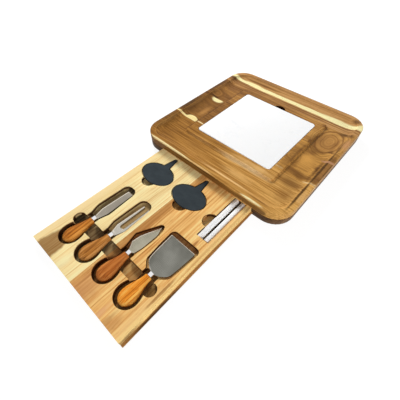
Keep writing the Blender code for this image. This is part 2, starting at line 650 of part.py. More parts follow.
def make_chalks(material, drawer):
    """Two round chalks side by side, one against each wall of their slot."""
    spread = CHALK_SLOT_WIDTH / 2 - CHALK_RADIUS - SEAT_GAP
    z = DRAWER_TOP - CHALK_RADIUS - SEAT_GAP
    for number, side in ((1, -1), (2, 1)):
        slip = CHALK_SLIP if side > 0 else 0.0
        start = CHALK_SLOT_PLACE + CHALK_END_GAP
        x = CHALK_PLACE_share * DRAWER_WIDTH + side * spread
        carrier = empty(f"chalk_{number}_lift", (x, start, z), drawer)
        edge, radius, end = CHALK_EDGE_ROUND, CHALK_RADIUS, CHALK_LENGTH
        profile = [(0, slip), (radius - edge, slip), (radius, slip + edge), (radius, end - edge),
                   (radius - edge, end), (0, end)]
        turned(f"chalk_{number}", profile, material, carrier)


def main():
    """Build the whole board at its rest pose, with the drawer open."""
    clear_scene()
    acacia = make_material("acacia", (0.42, 0.24, 0.10), 0.45)
    pale_acacia = make_material("pale_acacia", (0.62, 0.42, 0.22), 0.50)
    grip_wood = make_material("grip_wood", (0.45, 0.19, 0.06), 0.35)
    marble = make_material("marble", (0.90, 0.90, 0.89), 0.25)
    steel = make_material("steel", (0.62, 0.62, 0.60), 0.28, 1.0)
    chrome = make_material("chrome", (0.80, 0.80, 0.80), 0.08, 1.0)
    slate = make_material("slate", (0.045, 0.050, 0.058), 0.70)
    chalk = make_material("chalk", (0.88, 0.88, 0.86), 0.90)

    board = empty("board_origin", (0, DRAWER_TRAVEL / 2, 0))
    make_top_board(acacia, board)
    make_rails(acacia, board)
    make_tile(marble, empty("tile_lift", (0, 0, 0), board))
    drawer = empty("drawer_slide", (0, -BOARD_HALF - DRAWER_TRAVEL, 0), board)
    make_drawer(pale_acacia, drawer)
    make_tools(grip_wood, chrome, steel, drawer)
    make_labels(slate, drawer)
    make_chalks(chalk, drawer)


main()
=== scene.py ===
# Looks of a square wooden cheese board with a white marble tile and a drawer of cheese tools.
from math import atan2, copysign, cos, pi, radians, sin

import bmesh
import bpy
from mathutils import Matrix, Vector


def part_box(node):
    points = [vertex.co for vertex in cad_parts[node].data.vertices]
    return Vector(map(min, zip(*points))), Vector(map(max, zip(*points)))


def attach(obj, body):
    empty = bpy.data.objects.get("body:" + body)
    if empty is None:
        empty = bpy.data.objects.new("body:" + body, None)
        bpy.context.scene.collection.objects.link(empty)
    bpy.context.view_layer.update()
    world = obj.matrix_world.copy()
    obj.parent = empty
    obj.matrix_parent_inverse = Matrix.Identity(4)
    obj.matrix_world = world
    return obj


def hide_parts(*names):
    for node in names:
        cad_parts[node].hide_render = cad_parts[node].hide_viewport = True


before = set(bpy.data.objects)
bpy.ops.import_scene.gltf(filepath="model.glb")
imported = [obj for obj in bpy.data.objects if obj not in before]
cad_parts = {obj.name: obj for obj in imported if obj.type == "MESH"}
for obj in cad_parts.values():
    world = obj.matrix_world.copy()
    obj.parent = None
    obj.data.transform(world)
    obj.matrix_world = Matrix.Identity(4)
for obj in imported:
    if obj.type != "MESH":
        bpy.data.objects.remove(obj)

bl_info = {
    "name": "Marble Cheese Board",
    "version": (1, 0, 0),
    "blender": (4, 5, 0),
    "location": "View3D > Sidebar > Cheese Board",
    "description": "Dresses the packed cheese board in oiled acacia, marble, slate and steel",
    "category": "Object",
}

TOOLS = ("narrow_knife", "fork", "spear_knife", "spade")
TOP_STAVES = ("top_stave_1", "top_stave_2", "top_stave_3", "top_stave_4")
DRAWER_STAVES = ("drawer_stave_left", "drawer_stave_right")
RAILS = ("side_rail_left", "side_rail_right", "back_rail")
LABELS = ("slate_label_1", "slate_label_2")
CHALKS = ("chalk_1", "chalk_2")

# Steps of the round forms
CORNER_STEPS = 16
EDGE_STEPS = 5
COVE_STEPS = 14
FOOT_STEPS = 9
PLATEAU_EDGE_STEPS = 4
NOTCH_STEPS = 72
BREAK_STEPS = 2
GRIP_STEPS = 40
BUTT_STEPS = 12
TAPER_STEPS = 24

# Tolerances in metres, and angles in degrees
MERGE_DISTANCE = 1e-6
SAME_PLACE = 1e-5
FLAT_ANGLE = 0.5
RIM_ANGLE = 60
BUTT_TIP_ANGLE = 4
SMOOTH_ANGLE = 30
ROUND_SMOOTH_ANGLE = 50
BLADE_SMOOTH_ANGLE = 8

FLOOR_GAP = 0.0002
FLOOR_REACH = 6.0
WHITE = (1.0, 1.0, 1.0, 1.0)
SENSOR_WIDTH = 36.0
CAMERA_CLIP = (0.01, 50.0)

# Inner half width, first and last place of what is routed, in metres, inside which walls and floors get
# painted shade
NOTCH_BOUNDS = (0.020, 0.080, 0.100)
POCKET_BOUNDS = (0.1035, 0.006, 0.280)

BOARD_LOW = Vector([min(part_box(name)[0][i] for name in TOP_STAVES) for i in range(3)])
BOARD_HIGH = Vector([max(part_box(name)[1][i] for name in TOP_STAVES) for i in range(3)])
BOARD_CENTRE = (BOARD_LOW + BOARD_HIGH) / 2
BOARD_HALF = (BOARD_HIGH.x - BOARD_LOW.x) / 2
RIM_TOP = BOARD_HIGH.z
RIM_MIDDLE = (BOARD_CENTRE.x, BOARD_CENTRE.y, RIM_TOP)
DRAWER_LOW, DRAWER_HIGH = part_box("drawer_stave_left")
DRAWER_TOP = DRAWER_HIGH.z
GLUE_LINES = [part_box(name)[1].y - BOARD_CENTRE.y for name in TOP_STAVES[:-1]]
DRAWER_GLUE_LINE = DRAWER_HIGH.x


def srgb(red, green, blue):
    """A colour given in screen values from 0 to 255, as the linear values that a shader takes."""
    linear = [((c / 255 + 0.055) / 1.055) ** 2.4 if c > 10 else c / 3294 for c in (red, green, blue)]
    return (*linear, 1.0)


def shade(colour):
    """A colour's linear values, found by its name in the panel or from three screen values."""
    if isinstance(colour, str):
        return tuple(getattr(bpy.context.scene.cheese_colours, colour))
    return srgb(*colour)


def metres(millimetres):
    """A place or a reach given in millimetres, in metres."""
    return tuple(value / 1000 for value in millimetres)


# Sizes and colours that a user would change


def length(name, about, default):
    """A property that holds a size in metres."""
    return bpy.props.FloatProperty(name=name, description=about, default=default, unit="LENGTH")


def bearing(name, about, degrees):
    """A property that holds an angle."""
    return bpy.props.FloatProperty(name=name, description=about, default=radians(degrees), subtype="ANGLE")


def plain(name, about, default, unit="NONE"):
    """A property that holds a plain number or a power."""
    return bpy.props.FloatProperty(name=name, description=about, default=default, unit=unit)


def position(name, about, default):
    """A property that holds a place in metres."""
    return bpy.props.FloatVectorProperty(name=name, description=about, default=default, subtype="XYZ",
                                         unit="LENGTH")


def colour(name, about, *screen):
    """A property that holds a colour, given in screen values."""
    return bpy.props.FloatVectorProperty(name=name, description=about, default=srgb(*screen), subtype="COLOR",
                                         size=4, min=0.0, max=1.0)


class DishSizes(bpy.types.PropertyGroup):
    """Sizes of the dished top board."""
    corner_radius: length("Corner radius", "Round corner of the board", 0.038)
    edge_round: length("Edge rounding", "Softened edges of the rim", 0.0012)
    land_width: length("Rim land", "Flat top of the rim", 0.0115)
    moat_depth: length("Moat depth", "Moat floor below the rim", 0.0062)
    outer_cove: length("Outer cove", "Width of the slope inside the rim", 0.022)
    cove_sweep: bearing("Cove sweep", "Part of a quarter oval that the slope takes", 68)
    inner_cove: length("Inner cove", "Fillet at the foot of the raised middle", 0.0034)
    plateau_half: length("Raised middle", "Half side of the raised middle", 0.1035)
    plateau_radius: length("Raised middle corner", "Its corner radius", 0.006)
    plateau_drop: length("Raised middle drop", "Its top below the rim", 0.002)
    plateau_round: length("Raised middle rounding", "Its softened edge", 0.001)
    tile_gap: length("Tile gap", "Gap all round the marble tile", 0.0009)
    tile_radius: length("Tile corner", "Corner radius of the marble tile", 0.006)
    tile_round: length("Tile edge", "Polished arris of the marble tile", 0.0007)
    seat: length("Seat", "Clearance under a seated piece", 0.0003)
    notch_radius: length("Notch radius", "Round finger notch behind the tile", 0.0145)
    notch_reach: length("Notch reach", "How far the notch reaches past the tile", 0.0097)
    notch_depth: length("Notch depth", "Notch floor below the recess floor", 0.003)


class ToolSizes(bpy.types.PropertyGroup):
    """Sizes of the tool grips and of the drawer's sanded edges."""
    width: length("Grip width", "Widest part of the grip", 0.0256)
    thickness: length("Grip thickness", "Thickest part of the grip", 0.0105)
    taper_length: length("Taper length", "From the grip's middle to the ferrule", 0.0362)
    butt_length: length("Butt length", "Round end of the grip, from its middle", 0.0147)
    neck_width: length("Neck width", "Grip width at the ferrule", 0.0112)
    neck_thickness: length("Neck thickness", "Grip thickness at the ferrule", 0.0098)
    fullness: plain("Fullness", "How square the grip's section is", 2.5)
    rim_break: length("Edge break", "Sanded edges round the drawer's pockets", 0.0004)


class FinishColours(bpy.types.PropertyGroup):
    """Main colours of the finishes."""
    sapwood: colour("Sapwood", "Pale sapwood left in the top board", 255, 243, 180)
    sapwood_bulb: colour("Sapwood spot", "Round sapwood spot on the left of the moat", 255, 234, 164)
    pale_edge: colour("Pale edge", "Thin pale strips along the top board's glue lines", 252, 218, 158)
    rail: colour("Rail wood", "Middle tone of the rails under the top board", 108, 78, 50)
    drawer_left: colour("Drawer sapwood", "Middle tone of the drawer's left stave", 255, 228, 164)
    drawer_right: colour("Drawer heartwood", "Middle tone of the drawer's right stave", 238, 178, 104)
    # Colour of the painted shade that is multiplied into the routed pockets and the finger notch
    pocket: colour("Pocket shade", "What darkens the drawer's routed pockets", 64, 34, 16)
    marble: colour("Marble", "Ground of the marble tile", 254, 254, 254)
    vein: colour("Marble vein", "Veins of the marble tile", 232, 235, 238)
    slate: colour("Slate", "Middle tone of the labels", 54, 61, 65)
    chalk: colour("Chalk", "Lightest tone of the chalks", 255, 255, 255)
    # Colour of the painted highlight on the blades' ground bevels
    ground_steel: colour("Ground edge", "Ground bevels of the blades", 244, 236, 222)
    plating: colour("Plating", "Lightest tone of the ferrules", 240, 240, 241)


class StudioLook(bpy.types.PropertyGroup):
    """Camera and light of the stage."""
    focal: plain("Focal length", "Lens on a 36 mm frame", 23.7)
    shift_x: plain("Shift X", "Sideways lens shift", -0.0045)
    shift_y: plain("Shift Y", "Upward lens shift", -0.0075)
    azimuth: bearing("Azimuth", "Camera bearing round the board", 42.6)
    elevation: bearing("Elevation", "Camera height angle", 52.2)
    roll: bearing("Roll", "Camera roll", -0.2)
    place: position("Camera place", "From the middle of the board's rim top", (0.2168, -0.4035, 0.3362))
    key_power: plain("Key power", "Soft lamp behind the board, on the left", 31.0, "POWER")
    key_size: length("Key size", "Side of the lamp behind the board", 0.5)
    key_place: position("Key place", "Where the lamp behind the board is", (-1.18, 0.826, 0.92))
    fill_power: plain("Fill power", "Weak low lamp near the camera", 16.0, "POWER")
    fill_size: length("Fill size", "Side of the low lamp", 0.9)
    fill_place: position("Fill place", "Where the low lamp is", (1.25, -0.80, 0.45))
    sky: plain("Room light", "Strength of the even room light", 0.24)


# What the wood's shader looks for, in metres: a glue line's dark core and end, the heights of a softened
# edge's painted highlight, the depths over which a pocket's floor, seat and wall get painted shade, and the
# grain's relief
SEAM_REACH = (0.0001, 0.00045)
EDGE_HIGHLIGHT_DEPTHS = (-0.0016, -0.0011)
FLOOR_DEPTHS = (0.0060, 0.0108)
SEAT_DEPTHS = (0.0040, 0.0060)
WALL_DEPTHS = (0.0004, 0.0022)
GRAIN_HEIGHT = 0.00006

# Share of an eye's contrast that its dark arcs take
ARC_SHARE = 0.34

# How often the wood's marks repeat per metre, along the grain and across it
BEND_SCALE = (3.2, 9.0, 9.0)
STREAK_SCALE = (12.0, 360.0, 360.0)
FIBRE_SCALE = (22.0, 1100.0, 1100.0)
PORE_SCALE = (95.0, 1900.0, 1900.0)


# Shader building


class Nodes:
    """Short calls for building a shader tree."""

    def __init__(self, tree):
        self.tree = tree

    def feed(self, node, inputs):
        """Give a node its inputs, each a value or another node's output."""
        for key, value in inputs.items():
            if isinstance(value, bpy.types.NodeSocket):
                self.tree.links.new(value, node.inputs[key])
            else:
                node.inputs[key].default_value = value

    def add(self, kind, inputs=None, **settings):
        """A shader node with its settings and its inputs."""
        node = self.tree.nodes.new("ShaderNode" + kind)
        for key, value in settings.items():
            setattr(node, key, value)
        self.feed(node, inputs or {})
        return node

    def math(self, operation, a, b=0.0, clamp=False):
        """One Math node's result."""
        return self.add("Math", {0: a, 1: b}, operation=operation, use_clamp=clamp).outputs[0]

    def plus(self, first, *others):
        """The sum of some values."""
        for other in others:
            first = self.math("ADD", first, other)
        return first

    def minus(self, a, b):
        """The difference of two values."""
        return self.math("SUBTRACT", a, b)

    def times(self, first, *others):
        """The product of some values."""
        for other in others:
            first = self.math("MULTIPLY", first, other)
        return first

    def vector(self, operation, a, b=(0, 0, 0), result="Vector"):
        """One Vector Math node's vector, or its single value, such as a length."""
        return self.add("VectorMath", {0: a, 1: b}, operation=operation).outputs[result]

    def combine(self, parts):
        """A vector from some of its X, Y and Z."""
        return self.add("CombineXYZ", parts).outputs[0]

    def split(self, vector):
        """A vector's X, Y and Z."""
        return self.add("SeparateXYZ", {0: vector}).outputs

    def normal(self):
        """The X, Y and Z of the way that the surface faces."""
        return self.split(self.add("NewGeometry").outputs["Normal"])

    def mix(self, share, a, b, blend="MIX"):
        """A colour mix of a and b."""
        return self.add("Mix", {0: share, 6: a, 7: b}, data_type="RGBA", blend_type=blend).outputs[2]

    def remap(self, value, low, high, to_low=0.0, to_high=1.0, smooth=False):
        """A value moved from one range to another and kept inside it."""
        kind = "SMOOTHSTEP" if smooth else "LINEAR"
        return self.add("MapRange", {0: value, 1: low, 2: high, 3: to_low, 4: to_high},
                        interpolation_type=kind).outputs[0]

    def ramp(self, value, stops):
        """A colour ramp through (place, colour) stops."""
        node = self.add("ValToRGB", {0: value})
        band = node.color_ramp
        while len(band.elements) < len(stops):
            band.elements.new(0.5)
        for element, (spot, color) in zip(band.elements, stops):
            element.position = spot
            element.color = color
        return node.outputs[0]

    def noise(self, vector, scale, detail, rough):
        """Noise in space, about 0.5 on average."""
        return self.add("TexNoise", {"Vector": vector, "Scale": scale, "Detail": detail,
                                     "Roughness": rough}).outputs[0]

    def noise_along(self, value, scale, detail, rough):
        """Noise along one value, as rings have across a trunk."""
        return self.add("TexNoise", {"W": value, "Scale": scale, "Detail": detail, "Roughness": rough},
                        noise_dimensions="1D").outputs[0]

    def scaled(self, vector, scale, location=(0, 0, 0), rotation=(0, 0, 0)):
        """A vector moved, turned and stretched."""
        return self.add("Mapping", {"Vector": vector, "Location": location, "Rotation": rotation,
                                    "Scale": scale}).outputs[0]

    def stretched_noise(self, vector, scale, detail, rough, rotation=(0, 0, 0)):
        """Noise that is stretched by its own scale along each axis."""
        return self.noise(self.scaled(vector, scale, rotation=rotation), 1.0, detail, rough)


def growth_rings(n, given):
    """Solid wood cut from a trunk that lies along X: the same rings show on faces, edges and ends."""
    seeded = n.vector("ADD", given["Vector"], n.combine({"X": given["Seed"], "Y": given["Seed"]}))
    bend = n.minus(n.stretched_noise(seeded, BEND_SCALE, 2.0, 0.45), 0.5)
    away = n.split(n.vector("SUBTRACT", given["Vector"], given["Pith"]))
    squares = n.plus(n.math("POWER", away["Y"], 2.0), n.math("POWER", away["Z"], 2.0))
    radius = n.math("DIVIDE", n.math("SQRT", squares), given["Ring Width"])
    phase = n.plus(radius, n.times(bend, n.times(given["Wander"], 9.0)), given["Seed"])
    bands = n.noise_along(phase, 0.5, 1.5, 0.5)
    lines = n.noise_along(phase, 2.2, 2.0, 0.6)
    waved = n.vector("ADD", seeded, n.combine({"Y": n.times(bend, 0.012)}))
    streaks = n.stretched_noise(waved, STREAK_SCALE, 3.0, 0.6)
    fibre = n.stretched_noise(waved, FIBRE_SCALE, 3.0, 0.6)
    pores = n.remap(n.stretched_noise(seeded, PORE_SCALE, 1.0, 0.5), 0.63, 0.74)
    return bands, lines, streaks, fibre, pores


def oval_distance(n, given):
    """How far a point is from the middle of an oval, where 1 is its edge."""
    away = n.vector("SUBTRACT", given["Vector"], given["Place"])
    return n.vector("LENGTH", n.vector("DIVIDE", away, given["Reach"]), result="Value")


def soft_patch(n, given):
    """A soft-edged oval patch, such as sapwood left at a board's edge."""
    uneven = n.minus(n.stretched_noise(given["Vector"], (30.0, 110.0, 60.0), 3.0, 0.55), 0.5)
    far = n.plus(oval_distance(n, given), n.times(uneven, given["Ragged"]))
    return (n.remap(far, n.minus(1.0, given["Softness"]), 1.0, 1.0, 0.0, smooth=True),)


def branch_eye(n, given):
    """Rings round a branch that grew through the board, and where they push the straight grain aside."""
    far = oval_distance(n, given)
    uneven = n.minus(n.noise(given["Vector"], 42.0, 2.0, 0.5), 0.5)
    round_by = n.times(n.plus(far, n.times(uneven, 0.22)), given["Rings"])
    rings = n.minus(n.noise_along(round_by, 1.0, 1.5, 0.5), 0.5)
    return rings, n.remap(n.plus(far, n.times(uneven, 0.3)), 0.55, 1.0, 1.0, 0.0, smooth=True)


def routed_pocket(n, given):
    """Painted shade in a routed pocket: darker with depth, and darker on its upright walls."""
    local = n.split(given["Vector"])
    depth = n.times(local["Z"], -1.0)
    inside = n.times(n.math("LESS_THAN", n.math("ABSOLUTE", local["X"]), given["Half"]),
                     n.math("GREATER_THAN", local["Y"], given["First"]),
                     n.math("LESS_THAN", local["Y"], given["Last"]))
    floor = n.times(n.remap(depth, *FLOOR_DEPTHS, 0.05, 0.66), n.remap(depth, *SEAT_DEPTHS))
    upright = n.remap(n.math("ABSOLUTE", n.normal()["Z"]), 0.3, 0.7, 1.0, 0.0)
    wall = n.times(upright, n.remap(depth, *WALL_DEPTHS, 0.0, 0.97))
    return (n.times(n.math("MAXIMUM", floor, wall), inside),)


def handling_wear(n, given):
    """Fine handling marks: small scuffs that change the gloss."""
    smudge = n.minus(n.noise(given["Vector"], 38.0, 4.0, 0.6), 0.5)
    scratch = n.stretched_noise(given["Vector"], (700.0, 60.0, 60.0), 2.0, 0.5, rotation=(0, 0, 0.6))
    return n.times(smudge, n.times(given["Amount"], 0.25)), n.times(scratch, given["Amount"])


GROUP_OUTPUTS = {
    growth_rings: ("Bands", "Lines", "Streaks", "Fibre", "Pores"),
    soft_patch: ("Mask",),
    branch_eye: ("Rings", "Mask"),
    routed_pocket: ("Mask",),
    handling_wear: ("Rough", "Height"),
}
VECTOR_INPUTS = ("Vector", "Pith", "Place", "Reach")


def new_group(name, build, inputs):
    """A shader group with named inputs, whose outputs are the values that build returns."""
    tree = bpy.data.node_groups.new(name, "ShaderNodeTree")
    for label in inputs:
        kind = "NodeSocketVector" if label in VECTOR_INPUTS else "NodeSocketFloat"
        tree.interface.new_socket(label, in_out="INPUT", socket_type=kind)
    for label in GROUP_OUTPUTS[build]:
        tree.interface.new_socket(label, in_out="OUTPUT", socket_type="NodeSocketFloat")
    given = tree.nodes.new("NodeGroupInput")
    out = tree.nodes.new("NodeGroupOutput")
    for label, value in zip(GROUP_OUTPUTS[build], build(Nodes(tree), given.outputs)):
        tree.links.new(value, out.inputs[label])
    return tree


def shared(n, build, **inputs):
    """A node of the group that a function builds, made once for all materials; returns its outputs."""
    inputs = {label.replace("_", " ").title(): value for label, value in inputs.items()}
    name = build.__name__.replace("_", " ")
    tree = bpy.data.node_groups.get(name) or new_group(name, build, inputs)
    return n.add("Group", inputs, node_tree=tree).outputs


def new_material(name):
    """A material; returns it, the node helper, its Principled shader and the object coordinates."""
    material = bpy.data.materials.new(name)
    material.use_nodes = True
    n = Nodes(material.node_tree)
    return material, n, material.node_tree.nodes["Principled BSDF"], n.add("TexCoord").outputs["Object"]


def set_bump(n, shader, height, distance, strength):
    """Feed a height into the shader's normal."""
    bump = n.add("Bump", {"Height": height, "Distance": distance, "Strength": strength})
    n.feed(shader, {"Normal": bump.outputs[0]})


def wood(name, tones, pith, ring_width, wander, seed, origin=RIM_MIDDLE, turn=0.0, drift=(0, 0, 0), bands=1.0,
         streaks=1.2, gloss=0.38, pore=0.5, arris=0.45, eyes=(), patches=(), glue=(), pockets=None):
    """Oiled hardwood. Tones are dark, middle and light. Pith is the trunk's middle line, from origin. Turn
    leads the grain away from X. Drift shifts the tone per metre along X, Y and Z. Gloss is the roughness,
    pore how dark the pores are, arris how strong the painted highlight on a softened edge is. Eyes are
    (place, reach, rings, contrast) and patches (place, reach, softness, raggedness, colour, amount), in
    millimetres from origin; some patches are painted shade or painted highlight. Glue holds the places of
    glue lines, and pockets the bounds inside which routed walls and floors get painted shade."""
    dark, middle, light = [shade(tone) for tone in tones]
    material, n, shader, place = new_material(name)
    local = n.scaled(place, (1, 1, 1), location=tuple(-c for c in origin))
    along = n.scaled(local, (1, 1, 1), rotation=(0, 0, turn)) if turn else local
    grown = shared(n, growth_rings, vector=along, pith=pith, ring_width=ring_width, wander=wander, seed=seed)
    tone = n.times(n.minus(grown["Bands"], 0.5), bands)
    for part, share in (("Lines", bands * 0.6), ("Streaks", streaks), ("Fibre", 0.5)):
        tone = n.plus(tone, n.times(n.minus(grown[part], 0.5), share))
    arcs = []
    for spot, reach, rings, contrast in eyes:
        eye = shared(n, branch_eye, vector=local, place=metres(spot), reach=metres(reach), rings=rings)
        calm = n.times(tone, n.minus(1.0, n.times(eye["Mask"], 0.7)))
        tone = n.plus(calm, n.times(eye["Rings"], contrast, eye["Mask"]))
        arcs.append(n.times(n.remap(eye["Rings"], 0.02, -0.10), eye["Mask"], contrast * ARC_SHARE))
    tone = n.plus(tone, n.vector("DOT_PRODUCT", local, drift, result="Value"), 0.5)
    color = n.ramp(tone, ((0.1, dark), (0.5, middle), (0.9, light)))
    veil = n.math("MULTIPLY", n.minus(grown["Streaks"], 0.35), 0.7, clamp=True)
    for spot, reach, softness, ragged, tint, amount in patches:
        mask = shared(n, soft_patch, vector=local, place=metres(spot), reach=metres(reach), softness=softness,
                      ragged=ragged)["Mask"]
        color = n.mix(n.times(mask, amount), color, n.mix(veil, shade(tint), middle))
    for arc in arcs:
        color = n.mix(arc, color, dark)
    color = n.mix(n.times(grown["Pores"], pore), color, dark, blend="MULTIPLY")
    axes = n.split(local)
    for axis, line in glue:
        gap = n.math("ABSOLUTE", n.minus(axes[axis], line))
        seam = n.remap(gap, *SEAM_REACH, 0.5, 0.0, smooth=True)
        color = n.mix(seam, color, dark, blend="MULTIPLY")
    # Painted highlight on softened edges: slanting faces near the top, left off those that face -X
    normal = n.normal()
    edge = n.times(n.remap(normal["Z"], 0.25, 0.6), n.remap(normal["Z"], 0.8, 0.97, 1.0, 0.0),
                   n.remap(normal["X"], -0.4, -0.1), n.remap(axes["Z"], *EDGE_HIGHLIGHT_DEPTHS))
    color = n.mix(n.times(edge, arris), color, light)
    # Painted shade in the routed pockets, multiplied in with the pocket colour
    if pockets:
        half, first, last = pockets
        routed = shared(n, routed_pocket, vector=local, half=half, first=first, last=last)["Mask"]
        color = n.mix(routed, color, shade("pocket"), blend="MULTIPLY")
    worn = shared(n, handling_wear, vector=local, amount=0.6)
    rough = n.plus(n.times(grown["Fibre"], 0.16), gloss, n.times(grown["Pores"], 0.2))
    rough = n.math("ADD", rough, worn["Rough"], clamp=True)
    n.feed(shader, {"Base Color": color, "Roughness": rough, "Specular IOR Level": 0.10})
    height = n.plus(n.minus(n.times(grown["Fibre"], 0.5), grown["Pores"]), n.times(grown["Streaks"], 0.4))
    set_bump(n, shader, height, GRAIN_HEIGHT, 0.6)
    return material


# Patches and eyes of the top board's staves, in millimetres from the middle of the rim's top face

RIGHT_EYE = ((129, 60, 0), (41, 70, 200), 10.0, 1.1)
SECOND_EYES = (RIGHT_EYE, ((97, -24, 0), (22, 26, 200), 5.0, 0.8), ((-150, -20, 0), (50, 46, 200), 2.0, 0.5))
THIRD_EYES = (RIGHT_EYE, ((-146, 46, 0), (28, 26, 200), 4.0, 0.9))
EYE_CRESCENT = ((121, 46, -6), (30, 42, 30), 0.45, 0.25, (84, 50, 20), 0.6)

FRONT_PATCHES = (
    ((-60, -126, -6), (34, 18, 6), 1.0, 0.4, (146, 100, 48), 0.6),
    # Painted highlight along the front edge of the raised middle
    ((45, -105.5, -3), (90, 6.6, 9), 0.9, 0.6, (255, 224, 170), 1.0),
    ((60, -96, -2), (70, 7, 10), 0.9, 1.2, (226, 180, 114), 0.8),
    ((128, -82, -5), (40, 18, 6), 0.9, 0.4, (110, 72, 34), 0.85),
    # Painted shade: dark line inside the right rim
    ((154, -98, 0), (4, 56, 5), 0.6, 0.1, (60, 38, 16), 0.95),
    ((160, -103, 0), (5.6, 22, 6), 0.7, 0.4, (224, 176, 112), 0.8),
    ((48, -130, -6), (46, 12, 6), 0.9, 0.5, (234, 184, 112), 0.7),
    ((40, -149, -2), (80, 4.6, 4), 0.8, 0.5, (255, 212, 144), 0.9),
    # Painted light on the left cove, set against its shading
    ((-152.5, -105, -2), (4.2, 50, 4), 0.8, 0.2, (196, 146, 84), 0.6),
    ((-10, -92.5, -2), (45, 4.8, 3), 0.8, 0.5, (130, 88, 42), 0.7),
    # Painted light along the foot of the raised middle's front, set against its shading
    ((-60, -105.5, -3), (60, 4.2, 6), 0.8, 0.5, (214, 164, 100), 0.75),
    ((138, -112, -6), (30, 32, 6), 1.0, 0.3, (116, 74, 34), 0.5),
    ((75, -95, -2), (22, 8, 3), 0.8, 0.6, (240, 192, 122), 0.7),
    ((0, -166.4, -9), (400, 2.6, 8), 0.3, 0.3, (104, 70, 32), 0.85),
    ((-10, -165.8, -3.4), (130, 2, 2.2), 0.6, 0.3, (60, 38, 16), 0.9),
    ((-165, -100, -3), (34, 55, 30), 1.0, 0.3, (98, 68, 32), 0.75),
    # Painted shade at the foot of the raised middle's left side
    ((-107.5, -86, -6), (2.4, 20, 4), 0.8, 0.1, (92, 56, 24), 0.8),
    # Next three rows: painted highlight along the front rim's outer edge
    ((-98, -164.5, 0), (80, 4.2, 2.4), 0.3, 0.25, (255, 234, 176), 1.0),
    ((-10, -164.2, 0), (40, 2.6, 2.4), 0.6, 0.6, (255, 216, 148), 0.8),
    ((103, -164.2, 0), (26, 3.6, 2.4), 0.5, 0.3, (255, 240, 184), 1.0),
    ((112, -155.5, 0), (30, 2.6, 3), 0.7, 0.4, (134, 92, 48), 0.7),
)

SECOND_PATCHES = (
    ((-164, -30, -3), (34, 58, 30), 1.0, 0.3, (60, 38, 16), 0.9),
    ((130, -5, -6), (30, 60, 6), 1.0, 0.5, (118, 78, 34), 0.25),
    EYE_CRESCENT,
    ((128, 55, -6), (27.5, 40, 30), 0.40, 0.25, (200, 144, 76), 0.6),
    ((-124, -65, 0), (16.8, 11.4, 20), 0.15, 0.2, "sapwood_bulb", 1.0),
    ((-146, -66.5, 0), (20, 3.6, 20), 0.2, 0.1, "sapwood_bulb", 1.0),
    ((-127, 26.2, 0), (18, 11.8, 20), 0.35, 0.25, "sapwood", 1.0),
    ((-160, -68.8, 0), (30, 2.2, 20), 0.3, 0.3, "pale_edge", 0.9),
    ((-96, -69, 0), (14, 4, 20), 0.3, 0.2, (255, 228, 172), 1.0),
    ((158, -67.5, 0), (20, 3, 20), 0.4, 0.3, "pale_edge", 0.8),
    ((94, -66.5, 0), (10, 2.4, 20), 0.4, 0.3, "pale_edge", 0.6),
    # Painted shade at the foot of the raised middle's left side
    ((-107.5, -20, -6), (2.4, 60, 4), 0.8, 0.1, (80, 48, 22), 0.85),
    # Next two rows: painted shade along the right side of the raised middle
    ((111, -22, -5), (9, 85, 9), 1.0, 0.8, (120, 78, 34), 0.55),
    ((101, -14, -1), (5.2, 60, 4), 0.8, 0.4, (82, 50, 22), 0.85),
    # Painted light on the left cove, set against its shading
    ((-152.5, -15, -2), (4.2, 60, 4), 0.8, 0.2, (170, 124, 72), 0.6),
    ((-120, -27, -6), (10, 30, 4), 0.9, 0.5, (204, 148, 82), 0.6),
    ((126, -58, 0), (38, 13, 30), 0.8, 0.9, (104, 66, 30), 0.85),
    ((122, -14, 0), (27, 28, 30), 0.9, 0.4, (222, 164, 84), 0.9),
    # Painted shade along the right rim's inner wall
    ((148, -26, -4), (6.2, 48, 30), 1.0, 0.2, (78, 46, 18), 0.9),
    ((160, -24, 0), (7.8, 66, 20), 0.7, 0.4, (140, 98, 56), 0.8),
    ((160, -56, 0), (7.8, 14, 20), 0.8, 0.4, (112, 74, 38), 0.7),
    # Painted shade: dark line inside the right rim
    ((154, -20, 0), (4, 80, 5), 0.6, 0.1, (60, 38, 16), 0.95),
    ((164.5, -22, 0), (3, 50, 4), 0.7, 0.3, (84, 56, 28), 0.8),
    ((160, 12, 0), (6, 20, 4), 0.7, 0.4, (100, 66, 34), 0.6),
    ((120, 12, -5), (14, 12, 10), 0.9, 0.4, (112, 72, 34), 0.7),
    ((95, -30, -1), (10, 70, 4), 0.8, 0.9, (146, 102, 52), 0.6),
    ((158, 1, 0), (20, 4, 20), 0.5, 0.4, (196, 146, 110), 0.8),
)

